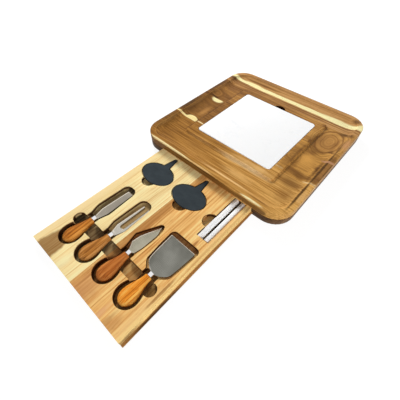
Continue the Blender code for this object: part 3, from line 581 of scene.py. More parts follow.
THIRD_PATCHES = (
    EYE_CRESCENT,
    ((128, 55, -6), (27.5, 40, 30), 0.40, 0.25, (206, 150, 82), 0.6),
    ((-158, 44, -3), (17, 14, 30), 1.0, 0.4, (70, 42, 18), 0.8),
    ((-140, 32.5, -5), (16, 4, 20), 0.6, 0.3, (46, 28, 12), 0.9),
    ((0, 96, -2), (90, 6, 3), 0.8, 0.6, (118, 80, 44), 0.55),
    ((-166, 75, -3), (26, 40, 30), 1.0, 0.3, (96, 62, 30), 0.8),
    # Painted shade at the foot of the raised middle's left side
    ((-107.5, 70, -6), (2.4, 45, 4), 0.8, 0.1, (84, 52, 24), 0.8),
    ((-130, 88, -6), (24, 18, 8), 1.0, 0.4, (130, 88, 48), 0.7),
    # Painted shade along the right rim's inner wall
    ((146, 30, -5), (9, 12, 10), 0.8, 0.3, (80, 48, 20), 0.8),
    # Painted shade: dark line inside the right rim
    ((154, 50, 0), (3.4, 44, 5), 0.7, 0.1, (80, 52, 24), 0.8),
    ((154, 97, 0), (11, 10, 4), 0.8, 0.2, (84, 52, 24), 0.75),
    ((144, 60, -5), (8, 36, 4), 0.9, 0.4, (124, 80, 38), 0.6),
    # Painted shade along the right edge of the raised middle
    ((101, 30, -1), (5, 16, 4), 0.8, 0.3, (82, 50, 22), 0.8),
    # Painted light on the left cove, set against its shading
    ((-152.5, 65, -2), (4.2, 38, 4), 0.8, 0.2, (184, 134, 80), 0.6),
    ((-161.2, 68, 0), (5.6, 44, 4), 0.7, 0.3, (76, 50, 26), 0.85),
    # Painted shade along the right side of the raised middle
    ((112, 50, -5), (11, 45, 9), 1.0, 0.8, (116, 76, 34), 0.5),
    ((103, 96, -3), (12, 9, 30), 0.9, 0.5, (112, 70, 32), 0.8),
    ((144, 99, -3), (16, 9, 30), 0.9, 0.3, (64, 36, 14), 0.9),
    ((160, 66, 0), (7.5, 26, 20), 0.7, 0.4, (206, 152, 102), 0.9),
)

BACK_PATCHES = (
    ((-130, 117, 0), (50, 10, 20), 1.0, 0.4, (134, 92, 50), 0.8),
    ((0, 120.5, 0), (400, 3.4, 20), 0.7, 0.6, (98, 60, 28), 0.85),
    ((0, 131.2, 0), (1200, 6.8, 20), 0.25, 0.5, (255, 244, 182), 1.0),
    ((-105, 136.5, 0), (35, 4.6, 20), 0.5, 0.3, "sapwood", 1.0),
    ((-130, 125.2, 0), (45, 4.2, 20), 0.6, 0.3, (134, 92, 50), 0.95),
    ((-90, 145.5, 0), (65, 4.8, 20), 0.7, 0.7, (112, 74, 38), 0.8),
    ((0, 152.5, 0), (400, 5.6, 20), 0.8, 1.2, (206, 156, 98), 0.5),
    ((145, 150, 0), (12, 10, 20), 0.8, 0.3, (90, 56, 28), 0.8),
    ((-75, 157, 0), (60, 8, 4), 0.9, 0.6, (126, 92, 58), 0.55),
    ((0, 164.5, 0), (400, 2.6, 20), 0.7, 0.5, (116, 80, 44), 0.6),
    ((170, 136, 0), (20, 15, 20), 0.3, 0.4, "sapwood", 0.9),
    ((110, 131.8, 0), (60, 10.4, 20), 0.4, 0.3, (255, 246, 186), 1.0),
    ((-155, 122, -3), (13, 10, 30), 0.9, 0.3, (66, 38, 16), 0.9),
    ((0, 113, 0), (400, 4, 20), 0.8, 1.4, (118, 76, 38), 0.8),
)


def top_stave_woods():
    """The four woods of the top board, from front to back."""
    rest = {"glue": [("Y", line) for line in GLUE_LINES]}
    outer = {"wander": 0.35, **rest}
    middle = {"wander": 0.6, "bands": 0.55, "streaks": 1.0, **rest}
    return (
        wood("front stave acacia", ((118, 76, 28), (176, 124, 58), (226, 174, 98)), (0, -0.420, -0.300),
             ring_width=0.0034, seed=3.1, drift=(1.7, 0, 0), bands=0.35, streaks=1.4,
             patches=FRONT_PATCHES, **outer),
        wood("second stave acacia", ((92, 56, 22), (150, 104, 50), (214, 158, 80)), (0, -0.090, -0.200),
             ring_width=0.0042, seed=11.7, drift=(1.6, 0, 0), eyes=SECOND_EYES, patches=SECOND_PATCHES,
             **middle),
        wood("third stave acacia", ((98, 60, 24), (160, 112, 56), (210, 158, 86)), (0, 0.000, -0.240),
             ring_width=0.0040, seed=23.4, drift=(1.4, 0, 0), eyes=THIRD_EYES, patches=THIRD_PATCHES,
             pockets=NOTCH_BOUNDS, **middle),
        wood("back stave acacia", ((102, 62, 26), (158, 110, 56), (198, 150, 94)), (0, 0.300, -0.220),
             ring_width=0.0036, seed=37.9, drift=(0.7, 2.0, 0), bands=0.7, streaks=1.5,
             patches=BACK_PATCHES, **outer),
    )


def rail_wood():
    """The darker wood of the frame under the top board."""
    return wood("rail acacia", ((62, 42, 28), "rail", (142, 108, 72)), (0, 0.200, -0.160),
                ring_width=0.0042, wander=0.6, seed=51.0)


# Patches of the drawer's staves, in millimetres from the middle of its front edge, at its top

DRAWER_LEFT_PATCHES = (
    ((-102, 100, 0), (12, 250, 30), 0.9, 0.3, (255, 226, 168), 0.9),
    ((-36, 10, 0), (11, 34, 30), 0.9, 0.3, (255, 242, 186), 0.9),
    ((-75, 0, 0), (21.5, 52, 30), 0.25, 0.3, (150, 107, 58), 1.0),
    # The next six rows are painted shade: floors and far ends of the blade bays, the notch at the trough's
    # left end and the trough floor between the grips
    ((-68.7, 120, -6.5), (20, 60, 1.2), 0.3, 0.2, (112, 90, 58), 0.95),
    ((-68.7, 163, -6.5), (16, 10, 3), 0.4, 0.1, (34, 22, 12), 1.0),
    ((-23.4, 118, -6.5), (17, 60, 1.2), 0.3, 0.2, (168, 132, 84), 0.9),
    ((-90, 66.7, -9), (13, 14, 3), 0.5, 0.1, (50, 36, 14), 1.0),
    ((-46, 66.7, -9), (16, 20, 1.2), 0.4, 0.1, (104, 70, 40), 0.9),
    ((-6, 66.7, -9), (10, 20, 1.2), 0.4, 0.2, (136, 96, 52), 0.8),
)

DRAWER_RIGHT_PATCHES = (
    ((4, 150, 0), (14, 220, 30), 0.8, 0.4, (170, 112, 58), 0.75),
    ((20, 0, 0), (30, 65, 30), 0.9, 0.4, (202, 142, 90), 0.85),
    ((62, 0, 0), (6, 30, 30), 0.7, 0.4, (228, 164, 118), 0.7),
    ((76, 0, 0), (6, 28, 30), 0.6, 0.4, (196, 140, 82), 0.8),
    ((98, 30, 0), (8, 80, 30), 0.9, 0.6, (255, 214, 146), 0.7),
    ((104.5, 190, 0), (3, 130, 30), 0.6, 0.8, (190, 136, 78), 0.5),
    ((100.5, 75, 0), (3, 36, 30), 0.6, 0.5, (166, 114, 60), 0.85),
    ((108.5, 12, 0), (2.2, 34, 30), 0.7, 0.3, (88, 58, 28), 0.85),
    ((111, 130, -9), (4, 200, 11), 0.2, 0.1, (172, 122, 68), 1.0),
    ((111, 55, -9), (4, 60, 11), 0.6, 0.3, (72, 46, 22), 1.0),
    ((100, 200, 0), (3.2, 70, 30), 0.8, 0.5, (255, 206, 138), 0.8),
    ((85, 8, 0), (10, 20, 30), 0.8, 0.4, (196, 136, 80), 0.7),
    # The next five rows are painted shade: floors and far ends of the blade bays, the notch's floor and the
    # gap between the chalks
    ((13, 120, -6.5), (16, 50, 1.2), 0.3, 0.2, (164, 100, 54), 0.95),
    ((26.5, 149, -6.5), (11, 9, 3), 0.5, 0.1, (50, 28, 12), 1.0),
    ((69.6, 152, -6.5), (36, 13, 2), 0.4, 0.2, (136, 80, 44), 0.9),
    ((90, 66.7, -9), (13, 14, 1.2), 0.5, 0.1, (130, 96, 48), 0.9),
    ((85.6, 218.7, -10.3), (3, 56, 3), 0.3, 0.1, (14, 8, 4), 1.0),
    ((84, 155, 0), (3, 14, 30), 0.6, 0.4, (170, 112, 60), 0.8),
)


def drawer_woods():
    """The drawer's pale left wood and brown right wood; the grain runs along Y."""
    rest = {"wander": 0.4, "origin": (0, DRAWER_LOW.y, DRAWER_TOP), "turn": radians(90), "bands": 0.9,
            # arris 0.8 makes the painted highlight on the sanded pocket edges stronger
            "glue": (("X", DRAWER_GLUE_LINE),), "pockets": POCKET_BOUNDS, "arris": 0.8}
    left = wood("drawer sapwood", ((228, 184, 120), "drawer_left", (255, 246, 188)), (0, 0.400, -0.310),
                ring_width=0.0050, seed=5.0, streaks=1.2, pore=0.25, patches=DRAWER_LEFT_PATCHES, **rest)
    right = wood("drawer heartwood", ((180, 118, 56), "drawer_right", (255, 218, 144)), (0, -0.400, -0.285),
                 ring_width=0.0045, seed=16.0, streaks=1.5, pore=0.35, drift=(2.2, 0, 0),
                 patches=DRAWER_RIGHT_PATCHES, **rest)
    return left, right


GRIP_TONES = {
    "narrow_knife": ((122, 60, 16), (204, 124, 44), (238, 166, 80)),
    "fork": ((110, 60, 20), (188, 122, 54), (224, 160, 90)),
    "spear_knife": ((118, 56, 20), (186, 106, 44), (222, 146, 76)),
    "spade": ((164, 82, 18), (248, 154, 50), (255, 196, 96)),
}


def grip_wood(tool):
    """The straight-grained wood of one grip."""
    low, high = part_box(tool + "_grip")
    seed = 60.0 + TOOLS.index(tool) * 7.3
    return wood(tool + " grip acacia", GRIP_TONES[tool], (0, 0.150, -0.120), ring_width=0.0024, wander=0.15,
                seed=seed, origin=(low + high) / 2, turn=radians(90), bands=0.9, streaks=1.7, gloss=0.26,
                pore=0.6)


def marble():
    """Polished white marble with faint grey veins and clouds."""
    material, n, shader, place = new_material("white marble")
    warp = n.noise(place, 9.0, 4.0, 0.6)
    bent = n.vector("ADD", place, n.combine({"X": n.times(warp, 0.06), "Y": n.times(warp, -0.05)}))
    vein = n.stretched_noise(bent, (14.0, 24.0, 18.0), 5.0, 0.62, rotation=(0, 0, 0.7))
    vein = n.remap(n.math("ABSOLUTE", n.minus(vein, 0.5)), 0.0, 0.022, 1.0, 0.0, smooth=True)
    broken = n.remap(n.noise(place, 22.0, 3.0, 0.5), 0.42, 0.66)
    cloud = n.remap(n.noise(bent, 11.0, 5.0, 0.6), 0.45, 0.8)
    crystal = n.noise(place, 1400.0, 1.0, 0.5)
    color = n.mix(n.times(cloud, 0.3), shade("marble"), srgb(248, 249, 250))
    color = n.mix(n.times(vein, broken, 0.3), color, shade("vein"))
    color = n.mix(n.times(crystal, 0.05), color, srgb(236, 238, 240))
    n.feed(shader, {"Base Color": color, "Roughness": n.remap(crystal, 0.0, 1.0, 0.14, 0.26),
                    "Subsurface Weight": 0.1, "Subsurface Scale": 0.002,
                    "Subsurface Radius": (1.0, 0.9, 0.8)})
    set_bump(n, shader, crystal, 0.00002, 0.3)
    return material


def slate():
    """Matte blue-grey slate with cleft layers and fine mica specks."""
    material, n, shader, place = new_material("dark slate")
    layers = n.stretched_noise(place, (55.0, 85.0, 260.0), 6.0, 0.62, rotation=(0.05, 0.08, 0.4))
    cleft = n.stretched_noise(place, (160.0, 60.0, 400.0), 5.0, 0.6, rotation=(0, 0, 0.9))
    speck = n.remap(n.noise(place, 2600.0, 1.0, 0.5), 0.66, 0.8)
    color = n.ramp(layers, ((0.25, srgb(45, 51, 55)), (0.55, shade("slate")), (0.85, srgb(64, 71, 75))))
    color = n.mix(n.times(speck, 0.3), color, srgb(98, 106, 110))
    n.feed(shader, {"Base Color": color, "Roughness": n.remap(layers, 0.2, 0.8, 0.58, 0.78),
                    "Specular IOR Level": 0.15})
    set_bump(n, shader, n.plus(layers, n.times(cleft, 0.6)), 0.00018, 0.4)
    return material


def chalk():
    """Matte white chalk with a dry, faintly pitted face."""
    material, n, shader, place = new_material("white chalk")
    dust = n.noise(place, 420.0, 2.0, 0.5)
    n.feed(shader, {"Base Color": n.mix(dust, srgb(252, 252, 251), shade("chalk")),
                    "Roughness": n.remap(dust, 0.0, 1.0, 0.75, 0.95), "Specular IOR Level": 0.2})
    set_bump(n, shader, dust, 0.00001, 0.1)
    return material


# Dim and bright steel tones of each blade; the spade's darker pair is partly a painted reflection of dark
# surroundings
STEEL_TONES_AND_REFLECTION = {
    "narrow_knife": ((144, 136, 124), (172, 164, 150)),
    "fork": ((178, 173, 162), (200, 195, 184)),
    "spear_knife": ((156, 151, 134), (184, 178, 158)),
    "spade": ((104, 103, 95), (138, 137, 129)),
}


def steel(tool):
    """Satin steel, brushed across the blade, with a painted highlight on its ground bevels."""
    material, n, shader, place = new_material(tool + " satin steel")
    brush = n.stretched_noise(place, (40.0, 2600.0, 400.0), 3.0, 0.6)
    broad = n.noise(place, 30.0, 2.0, 0.5)
    worn = shared(n, handling_wear, vector=place, amount=0.5)
    dim, bright = [shade(tone) for tone in STEEL_TONES_AND_REFLECTION[tool]]
    color = n.mix(n.remap(n.plus(n.times(brush, 0.06), broad), 0.33, 0.73), dim, bright)
    # Painted highlight on the ground bevels: faces that slant away from flat take the bevel highlight colour
    facing = n.normal()["Z"]
    bevel_highlight = n.times(n.remap(facing, 0.85, 0.97, 1.0, 0.0), n.math("GREATER_THAN", facing, 0.2))
    color = n.mix(n.times(bevel_highlight, 0.8), color, shade("ground_steel"))
    rough = n.math("ADD", n.remap(brush, 0.2, 0.8, 0.24, 0.32), worn["Rough"], clamp=True)
    n.feed(shader, {"Base Color": color, "Metallic": 1.0, "Roughness": rough})
    set_bump(n, shader, n.plus(brush, worn["Height"]), 0.000002, 0.1)
    return material


def chrome():
    """Bright plated ferrules."""
    material, n, shader, place = new_material("bright chrome")
    smudge = n.noise(place, 260.0, 3.0, 0.55)
    n.feed(shader, {"Base Color": n.mix(smudge, srgb(226, 227, 229), shade("plating")), "Metallic": 1.0,
                    "Roughness": n.remap(smudge, 0.3, 0.8, 0.05, 0.14)})
    return material


# Mesh building


def finish_piece(bm, name, material, body, nodes, smooth=SMOOTH_ANGLE):
    """Turn a bmesh into a piece that stands for its CAD nodes and rides on its body."""
    bmesh.ops.remove_doubles(bm, verts=bm.verts, dist=MERGE_DISTANCE)
    bmesh.ops.recalc_face_normals(bm, faces=bm.faces)
    piece = new_object(bm, name)
    piece.data.materials.append(material)
    smooth_mesh(piece.data, smooth)
    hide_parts(*nodes)
    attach(piece, body)
    return piece


def new_object(bm, name):
    """A mesh object made from a bmesh, which is freed."""
    mesh = bpy.data.meshes.new(name)
    bm.to_mesh(mesh)
    bm.free()
    made = bpy.data.objects.new(name, mesh)
    bpy.context.scene.collection.objects.link(made)
    return made


def smooth_mesh(mesh, degrees):
    """Shade a mesh smooth up to an angle between its faces."""
    mesh.shade_smooth()
    mesh.set_sharp_from_angle(angle=radians(degrees))


def only(parts, kind):
    """The parts of one kind among an operator's results."""
    return [part for part in parts if isinstance(part, kind)]


def grown_face(bm, face, first):
    """The far end of a face that is extruded; the first time, the near end stays as the solid's cap."""
    if first:
        made = bmesh.ops.extrude_face_region(bm, geom=[face], use_keep_orig=True)["geom"]
        return only(made, bmesh.types.BMFace)[0]
    return bmesh.ops.extrude_discrete_faces(bm, faces=[face])["faces"][0]


class RoundSquare:
    """A square with round corners that grows into a solid, one extruded ring after another."""

    def __init__(self, centre, half, radius, height):
        self.bm = bmesh.new()
        self.centre = centre
        signs = ((-1, -1), (1, -1), (1, 1), (-1, 1))
        self.bm.faces.new([self.bm.verts.new((x * half, y * half, 0)) for x, y in signs])
        bmesh.ops.bevel(self.bm, geom=self.bm.verts[:], offset=radius, offset_type="OFFSET",
                        affect="VERTICES", segments=CORNER_STEPS, profile=0.5, material=-1)
        self.face = self.bm.faces[:][0]
        self.side = self.bm.verts.layers.float_vector.new("corner side")
        self.ray = self.bm.verts.layers.float_vector.new("corner ray")
        for vert in self.bm.verts:
            side = Vector((1 if vert.co.x > 0 else -1, 1 if vert.co.y > 0 else -1, 0))
            vert[self.side] = side
            vert[self.ray] = (vert.co - side * (half - radius)).normalized()
        self.place(self.bm.verts, half, radius, height)

    def place(self, verts, half, radius, height):
        """Put a ring's points where a square of this size and corner radius has them."""
        for vert in verts:
            spot = vert[self.side] * (half - radius) + vert[self.ray] * radius
            vert.co = Vector((self.centre.x + spot.x, self.centre.y + spot.y, height))

    def grow(self, half, radius, height, first=False):
        """Extrude the open end to a ring of a new size and height."""
        self.face = grown_face(self.bm, self.face, first)
        self.place(self.face.verts, half, radius, height)

    def round_over(self, half, radius, top, edge, steps):
        """Round the outer edge over, up to a top face."""
        for side, rise in quarter(steps):
            self.grow(half - edge * rise, radius - edge * rise, top - edge * (1 - side))


def quarter(steps):
    """Pairs (sine, 1 - cosine) that step through a quarter turn."""
    return [(sin(pi / 2 * i / steps), 1 - cos(pi / 2 * i / steps)) for i in range(1, steps + 1)]


def slice_across(blank, front, back):
    """A copy of a solid's part between two places along Y."""
    part = blank.copy()
    for place, direction in ((front, -1), (back, 1)):
        cut = bmesh.ops.bisect_plane(part, geom=part.verts[:] + part.edges[:] + part.faces[:],
                                     dist=MERGE_DISTANCE, plane_co=(0, place, 0), plane_no=(0, direction, 0),
                                     clear_outer=True)["geom_cut"]
        bmesh.ops.holes_fill(part, edges=only(cut, bmesh.types.BMEdge), sides=0)
    return part


def dished_top(sizes):
    """The whole top board as one solid to cut into staves: rim, moat, raised middle and the tile's recess."""
    low = BOARD_LOW.z
    half, radius, edge = BOARD_HALF, sizes.corner_radius, sizes.edge_round
    shape = RoundSquare(BOARD_CENTRE, half - edge, radius - edge, low)
    shape.grow(half, radius, low + edge, first=True)
    shape.grow(half, radius, RIM_TOP - edge)
    shape.round_over(half, radius, RIM_TOP, edge, EDGE_STEPS)
    inner, inner_radius = half - sizes.land_width, radius - sizes.land_width
    for side, drop in [(0, 0)] + quarter(EDGE_STEPS):
        out = edge * (1 - side)
        shape.grow(inner + out, inner_radius + out, RIM_TOP - edge * drop)
    floor, wall, sweep = RIM_TOP - sizes.moat_depth, sizes.moat_depth - edge, sizes.cove_sweep
    for step in range(1, COVE_STEPS + 1):
        angle = sweep * (1 - step / COVE_STEPS)
        inward = sizes.outer_cove * (1 - sin(angle) / sin(sweep))
        shape.grow(inner - inward, inner_radius - inward, floor + wall * (1 - cos(angle)) / (1 - cos(sweep)))
    half, radius, edge = sizes.plateau_half, sizes.plateau_radius, sizes.plateau_round
    top = RIM_TOP - sizes.plateau_drop
    for side, rise in [(0, 0)] + quarter(FOOT_STEPS):
        out = sizes.inner_cove * (1 - side)
        shape.grow(half + out, radius + out, floor + sizes.inner_cove * rise)
    shape.grow(half, radius, top - edge)
    shape.round_over(half, radius, top, edge, PLATEAU_EDGE_STEPS)
    tile_low, tile_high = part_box("marble_tile")
    recess = (tile_high.x - tile_low.x) / 2 + sizes.tile_gap
    recess_radius = sizes.tile_radius + sizes.tile_gap
    ease = edge / 2
    shape.grow(recess + ease, recess_radius + ease, top)
    shape.grow(recess, recess_radius, top - ease)
    shape.grow(recess, recess_radius, tile_low.z - sizes.seat)
    return shape.bm


def cut_notch(stave, sizes):
    """Cut the round finger notch behind the tile out of the stave that holds it."""
    tile_low, tile_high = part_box("marble_tile")
    floor = tile_low.z - sizes.seat - sizes.notch_depth
    top = RIM_TOP + sizes.notch_depth
    bm = bmesh.new()
    bmesh.ops.create_cone(bm, cap_ends=True, segments=NOTCH_STEPS, radius1=sizes.notch_radius,
                          radius2=sizes.notch_radius, depth=top - floor)
    middle = Vector((BOARD_CENTRE.x, tile_high.y + sizes.notch_reach - sizes.notch_radius, (top + floor) / 2))
    bmesh.ops.translate(bm, verts=bm.verts, vec=middle)
    cutter = new_object(bm, "finger notch")
    boolean = stave.modifiers.new("finger notch", "BOOLEAN")
    boolean.operation = "DIFFERENCE"
    boolean.solver = "EXACT"
    boolean.object = cutter
    apply_modifiers(stave)
    bpy.data.objects.remove(cutter)


def apply_modifiers(piece):
    """Bake a piece's modifiers into its mesh."""
    bpy.context.view_layer.update()
    shaped = piece.evaluated_get(bpy.context.evaluated_depsgraph_get())
    mesh = bpy.data.meshes.new_from_object(shaped)
    piece.modifiers.clear()
    piece.data = mesh
    smooth_mesh(mesh, SMOOTH_ANGLE)


def merged_copy(node):
    """A CAD node's mesh with its loose triangles joined and its flat faces whole."""
    bm = bmesh.new()
    bm.from_mesh(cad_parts[node].data)
    bmesh.ops.remove_doubles(bm, verts=bm.verts, dist=MERGE_DISTANCE)
    bmesh.ops.dissolve_limit(bm, angle_limit=radians(FLAT_ANGLE), verts=bm.verts, edges=bm.edges)
    return bm


def finish_copy(node, name, material, body, smooth=SMOOTH_ANGLE):
    """Turn a CAD node as it is into a piece."""
    return finish_piece(merged_copy(node), name, material, body, [node], smooth)


def break_edges(bm, width, chosen):
    """Sand the chosen edges round."""
    edges = [edge for edge in bm.edges if len(edge.link_faces) == 2 and chosen(edge)]
    bmesh.ops.bevel(bm, geom=edges, offset=width, offset_type="OFFSET", affect="EDGES", segments=BREAK_STEPS,
                    profile=0.5, material=-1, clamp_overlap=True)


def on_pocket_rim(edge):
    """Whether an edge of a drawer stave is a sharp one on its top face, away from the glue line."""
    flat = all(vert.co.z > DRAWER_TOP - SAME_PLACE for vert in edge.verts)
    glued = all(abs(vert.co.x - DRAWER_GLUE_LINE) < SAME_PLACE for vert in edge.verts)
    return flat and not glued and edge.calc_face_angle(0) > radians(RIM_ANGLE)


class CHEESE_OT_top_board(bpy.types.Operator):
    """Build the dished top board as four glued staves"""
    bl_idname = "cheese.top_board"
    bl_label = "Top Board"

    def execute(self, context):
        sizes = context.scene.cheese_dish
        blank = dished_top(sizes)
        lines = [BOARD_LOW.y - BOARD_HALF] + [BOARD_CENTRE.y + line for line in GLUE_LINES]
        lines.append(BOARD_HIGH.y + BOARD_HALF)
        tile_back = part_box("marble_tile")[1].y
        for node, material, front, back in zip(TOP_STAVES, top_stave_woods(), lines, lines[1:]):
            piece = finish_piece(slice_across(blank, front, back), node.replace("top", "dished"), material,
                                 "board", [node])
            if front < tile_back < back:
                cut_notch(piece, sizes)
        blank.free()
        return {"FINISHED"}


class CHEESE_OT_tile(bpy.types.Operator):
    """Build the marble tile with polished edges"""
    bl_idname = "cheese.tile"
    bl_label = "Marble Tile"

    def execute(self, context):
        sizes = context.scene.cheese_dish
        low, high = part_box("marble_tile")
        half, radius, edge = (high.x - low.x) / 2, sizes.tile_radius, sizes.tile_round
        shape = RoundSquare((low + high) / 2, half - edge / 2, radius - edge / 2, low.z)
        shape.grow(half, radius, low.z + edge / 2, first=True)
        shape.grow(half, radius, high.z - edge)
        shape.round_over(half, radius, high.z, edge, EDGE_STEPS)
        finish_piece(shape.bm, "polished_tile", marble(), "tile", ["marble_tile"])
        return {"FINISHED"}


class CHEESE_OT_rails(bpy.types.Operator):
    """Build the three rails under the top board"""
    bl_idname = "cheese.rails"
    bl_label = "Rails"

    def execute(self, context):
        material = rail_wood()
        for node in RAILS:
            finish_copy(node, "oiled_" + node, material, "board")
        return {"FINISHED"}


class CHEESE_OT_drawer(bpy.types.Operator):
    """Build the drawer's two staves with softened pocket edges"""
    bl_idname = "cheese.drawer"
    bl_label = "Drawer"

    def execute(self, context):
        for node, material in zip(DRAWER_STAVES, drawer_woods()):
            bm = merged_copy(node)
            break_edges(bm, context.scene.cheese_tools.rim_break, on_pocket_rim)
            finish_piece(bm, node.replace("drawer", "routed"), material, "drawer", [node])
        return {"FINISHED"}


def grip_rings(sizes):
    """Place along the grip, width and thickness of each ring, from the butt to the neck."""
    rings = []
    tip = radians(BUTT_TIP_ANGLE)
    for step in range(BUTT_STEPS + 1):
        angle = tip + (pi / 2 - tip) * step / BUTT_STEPS
        wide = sin(angle)
        rings.append((-sizes.butt_length * cos(angle), sizes.width * wide, sizes.thickness * wide))
    for step in range(1, TAPER_STEPS + 1):
        share = step / TAPER_STEPS
        ease = (1 + cos(pi * share)) / 2
        rings.append((sizes.taper_length * share, sizes.neck_width + (sizes.width - sizes.neck_width) * ease,
                      sizes.neck_thickness + (sizes.thickness - sizes.neck_thickness) * ease))
    return rings


def grown_grip(sizes, centre, lean):
    """A drop-shaped grip: an oval that is extruded from ring to ring, turned to lie as its pocket does."""
    bm = bmesh.new()
    bmesh.ops.create_circle(bm, cap_ends=True, radius=1.0, segments=GRIP_STEPS)
    unit = bm.verts.layers.float_vector.new("ring place")
    for vert in bm.verts:
        vert[unit] = vert.co
    face = bm.faces[:][0]
    power = 2 / sizes.fullness
    for number, (along, width, thickness) in enumerate(grip_rings(sizes)):
        if number:
            face = grown_face(bm, face, first=number == 1)
        for vert in face.verts:
            across, up = vert[unit].x, vert[unit].y
            vert.co = (copysign(abs(across) ** power, across) * width / 2, along,
                       copysign(abs(up) ** power, up) * thickness / 2)
    bmesh.ops.rotate(bm, verts=bm.verts, matrix=Matrix.Rotation(lean, 3, "Z"))
    bmesh.ops.translate(bm, verts=bm.verts, vec=centre)
    return bm


def grip_seat(tool, sizes):
    """The middle of a grip's widest part and how far the tool leans, found from where its ferrule sits."""
    low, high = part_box(tool + "_grip")
    collar_low, collar_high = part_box(tool + "_ferrule")
    collar = (collar_low + collar_high) / 2
    centre = Vector(((low.x + high.x) / 2, low.y + sizes.butt_length, (low.z + high.z) / 2))
    return centre, atan2(centre.x - collar.x, collar.y - centre.y)


class CHEESE_OT_tools(bpy.types.Operator):
    """Build the grips, ferrules and blades of the four cheese tools"""
    bl_idname = "cheese.tools"
    bl_label = "Cheese Tools"

    def execute(self, context):
        sizes = context.scene.cheese_tools
        plating = chrome()
        for tool in TOOLS:
            centre, lean = grip_seat(tool, sizes)
            finish_piece(grown_grip(sizes, centre, lean), tool + "_handle", grip_wood(tool), tool,
                         [tool + "_grip"], smooth=ROUND_SMOOTH_ANGLE)
            finish_copy(tool + "_ferrule", tool + "_collar", plating, tool, ROUND_SMOOTH_ANGLE)
            finish_copy(tool + "_blade", tool + "_steel", steel(tool), tool, BLADE_SMOOTH_ANGLE)
        return {"FINISHED"}


class CHEESE_OT_labels(bpy.types.Operator):
    """Build the two slate labels"""
    bl_idname = "cheese.labels"
    bl_label = "Slate Labels"

    def execute(self, context):
        stone = slate()
        for node in LABELS:
            finish_copy(node, "cleft_" + node, stone, node)
        return {"FINISHED"}


class CHEESE_OT_chalks(bpy.types.Operator):
    """Build the two chalks"""
    bl_idname = "cheese.chalks"
    bl_label = "Chalks"

    def execute(self, context):
        white = chalk()
        for node in CHALKS:
            finish_copy(node, "white_" + node, white, node, ROUND_SMOOTH_ANGLE)
        return {"FINISHED"}


def camera_turn(look):
    """The camera's axes from its bearing, height angle and roll."""
    back = Vector((sin(look.azimuth) * cos(look.elevation), -cos(look.azimuth) * cos(look.elevation),
                   sin(look.elevation)))
    right = Vector((cos(look.azimuth), sin(look.azimuth), 0))
    turned = Matrix((right, back.cross(right), back)).transposed()
    return turned @ Matrix.Rotation(look.roll, 3, "Z")


def seen_directly(n):
    """1 for light that goes straight, or by a mirror or glass, to the camera."""
    rays = n.add("LightPath").outputs
    seen = n.math("MAXIMUM", rays["Is Camera Ray"], rays["Is Glossy Ray"])
    return n.math("MAXIMUM", seen, rays["Is Transmission Ray"])


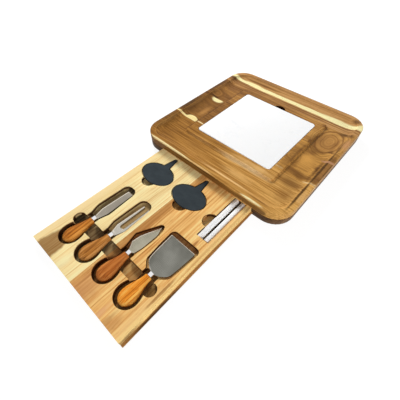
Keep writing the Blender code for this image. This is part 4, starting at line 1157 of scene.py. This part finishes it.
class CHEESE_OT_stage(bpy.types.Operator):
    """Set up the floor, lamps, room light and camera"""
    bl_idname = "cheese.stage"
    bl_label = "Stage"

    def execute(self, context):
        look = context.scene.cheese_studio
        context.scene.view_settings.view_transform = "Standard"
        self.add_camera(context.scene, look)
        self.add_floor()
        self.add_lamp(context.scene, "key", look.key_power, look.key_size, look.key_place)
        self.add_lamp(context.scene, "fill", look.fill_power, look.fill_size, look.fill_place)
        self.add_room(context.scene, look.sky)
        return {"FINISHED"}

    def add_camera(self, scene, look):
        """A camera that sees the board as the photograph does."""
        data = bpy.data.cameras.new("view")
        data.sensor_fit = "HORIZONTAL"
        data.sensor_width = SENSOR_WIDTH
        data.lens = look.focal
        data.shift_x, data.shift_y = look.shift_x, look.shift_y
        data.clip_start, data.clip_end = CAMERA_CLIP
        scene.camera = bpy.data.objects.new("view", data)
        scene.collection.objects.link(scene.camera)
        middle = Vector(RIM_MIDDLE) + Vector(look.place)
        scene.camera.matrix_world = Matrix.Translation(middle) @ camera_turn(look).to_4x4()

    def add_floor(self):
        """A plain white floor that keeps the board's soft shadow."""
        bm = bmesh.new()
        bmesh.ops.create_grid(bm, x_segments=1, y_segments=1, size=FLOOR_REACH)
        bmesh.ops.translate(bm, verts=bm.verts, vec=(0, 0, -FLOOR_GAP))
        floor = new_object(bm, "floor")
        material, n, shader = new_material("white floor")[:3]
        n.feed(shader, {"Base Color": (0.2, 0.2, 0.2, 1.0), "Roughness": 0.9, "Specular IOR Level": 0.1,
                        "Emission Color": WHITE, "Emission Strength": n.times(seen_directly(n), 0.9)})
        floor.data.materials.append(material)

    def add_lamp(self, scene, name, power, size, place):
        """A soft square lamp aimed at the board, which no surface mirrors."""
        data = bpy.data.lights.new(name, "AREA")
        data.energy = power
        data.size = size
        lamp = bpy.data.objects.new(name, data)
        scene.collection.objects.link(lamp)
        lamp.location = place
        lamp.visible_glossy = False
        lamp.rotation_euler = (Vector(place) * -1).to_track_quat("-Z", "Y").to_euler()

    def add_room(self, scene, strength):
        """Even pale light from all round, white where the camera sees it."""
        world = bpy.data.worlds.new("room")
        world.use_nodes = True
        scene.world = world
        n = Nodes(world.node_tree)
        glow = n.remap(seen_directly(n), 0.0, 1.0, strength, 1.0)
        n.feed(world.node_tree.nodes["Background"], {"Color": WHITE, "Strength": glow})


class CHEESE_PT_panel(bpy.types.Panel):
    """Lists the board's sizes, colours and pieces in the sidebar"""
    bl_idname = "CHEESE_PT_panel"
    bl_label = "Cheese Board"
    bl_space_type = "VIEW_3D"
    bl_region_type = "UI"
    bl_category = "Cheese Board"

    def draw(self, context):
        layout = self.layout
        for name, group in GROUP_CLASSES.items():
            box = layout.box()
            for key in group.__annotations__:
                box.prop(getattr(context.scene, name), key)
        for step in STEPS:
            layout.operator(step.bl_idname)


GROUP_CLASSES = {"cheese_dish": DishSizes, "cheese_tools": ToolSizes, "cheese_colours": FinishColours,
                 "cheese_studio": StudioLook}
STEPS = (CHEESE_OT_stage, CHEESE_OT_top_board, CHEESE_OT_tile, CHEESE_OT_rails, CHEESE_OT_drawer,
         CHEESE_OT_tools, CHEESE_OT_labels, CHEESE_OT_chalks)


def register():
    """Make the sizes, colours, operators and panel known to Blender."""
    for name, group in GROUP_CLASSES.items():
        bpy.utils.register_class(group)
        setattr(bpy.types.Scene, name, bpy.props.PointerProperty(type=group))
    for step in STEPS + (CHEESE_PT_panel,):
        bpy.utils.register_class(step)


def unregister():
    """Take back what register added."""
    for step in reversed(STEPS + (CHEESE_PT_panel,)):
        bpy.utils.unregister_class(step)
    for name, group in GROUP_CLASSES.items():
        delattr(bpy.types.Scene, name)
        bpy.utils.unregister_class(group)


def main():
    """Dress the whole board."""
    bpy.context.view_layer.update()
    register()
    for step in STEPS:
        group, name = step.bl_idname.split(".")
        getattr(getattr(bpy.ops, group), name)()


if __name__ == "__main__":
    main()
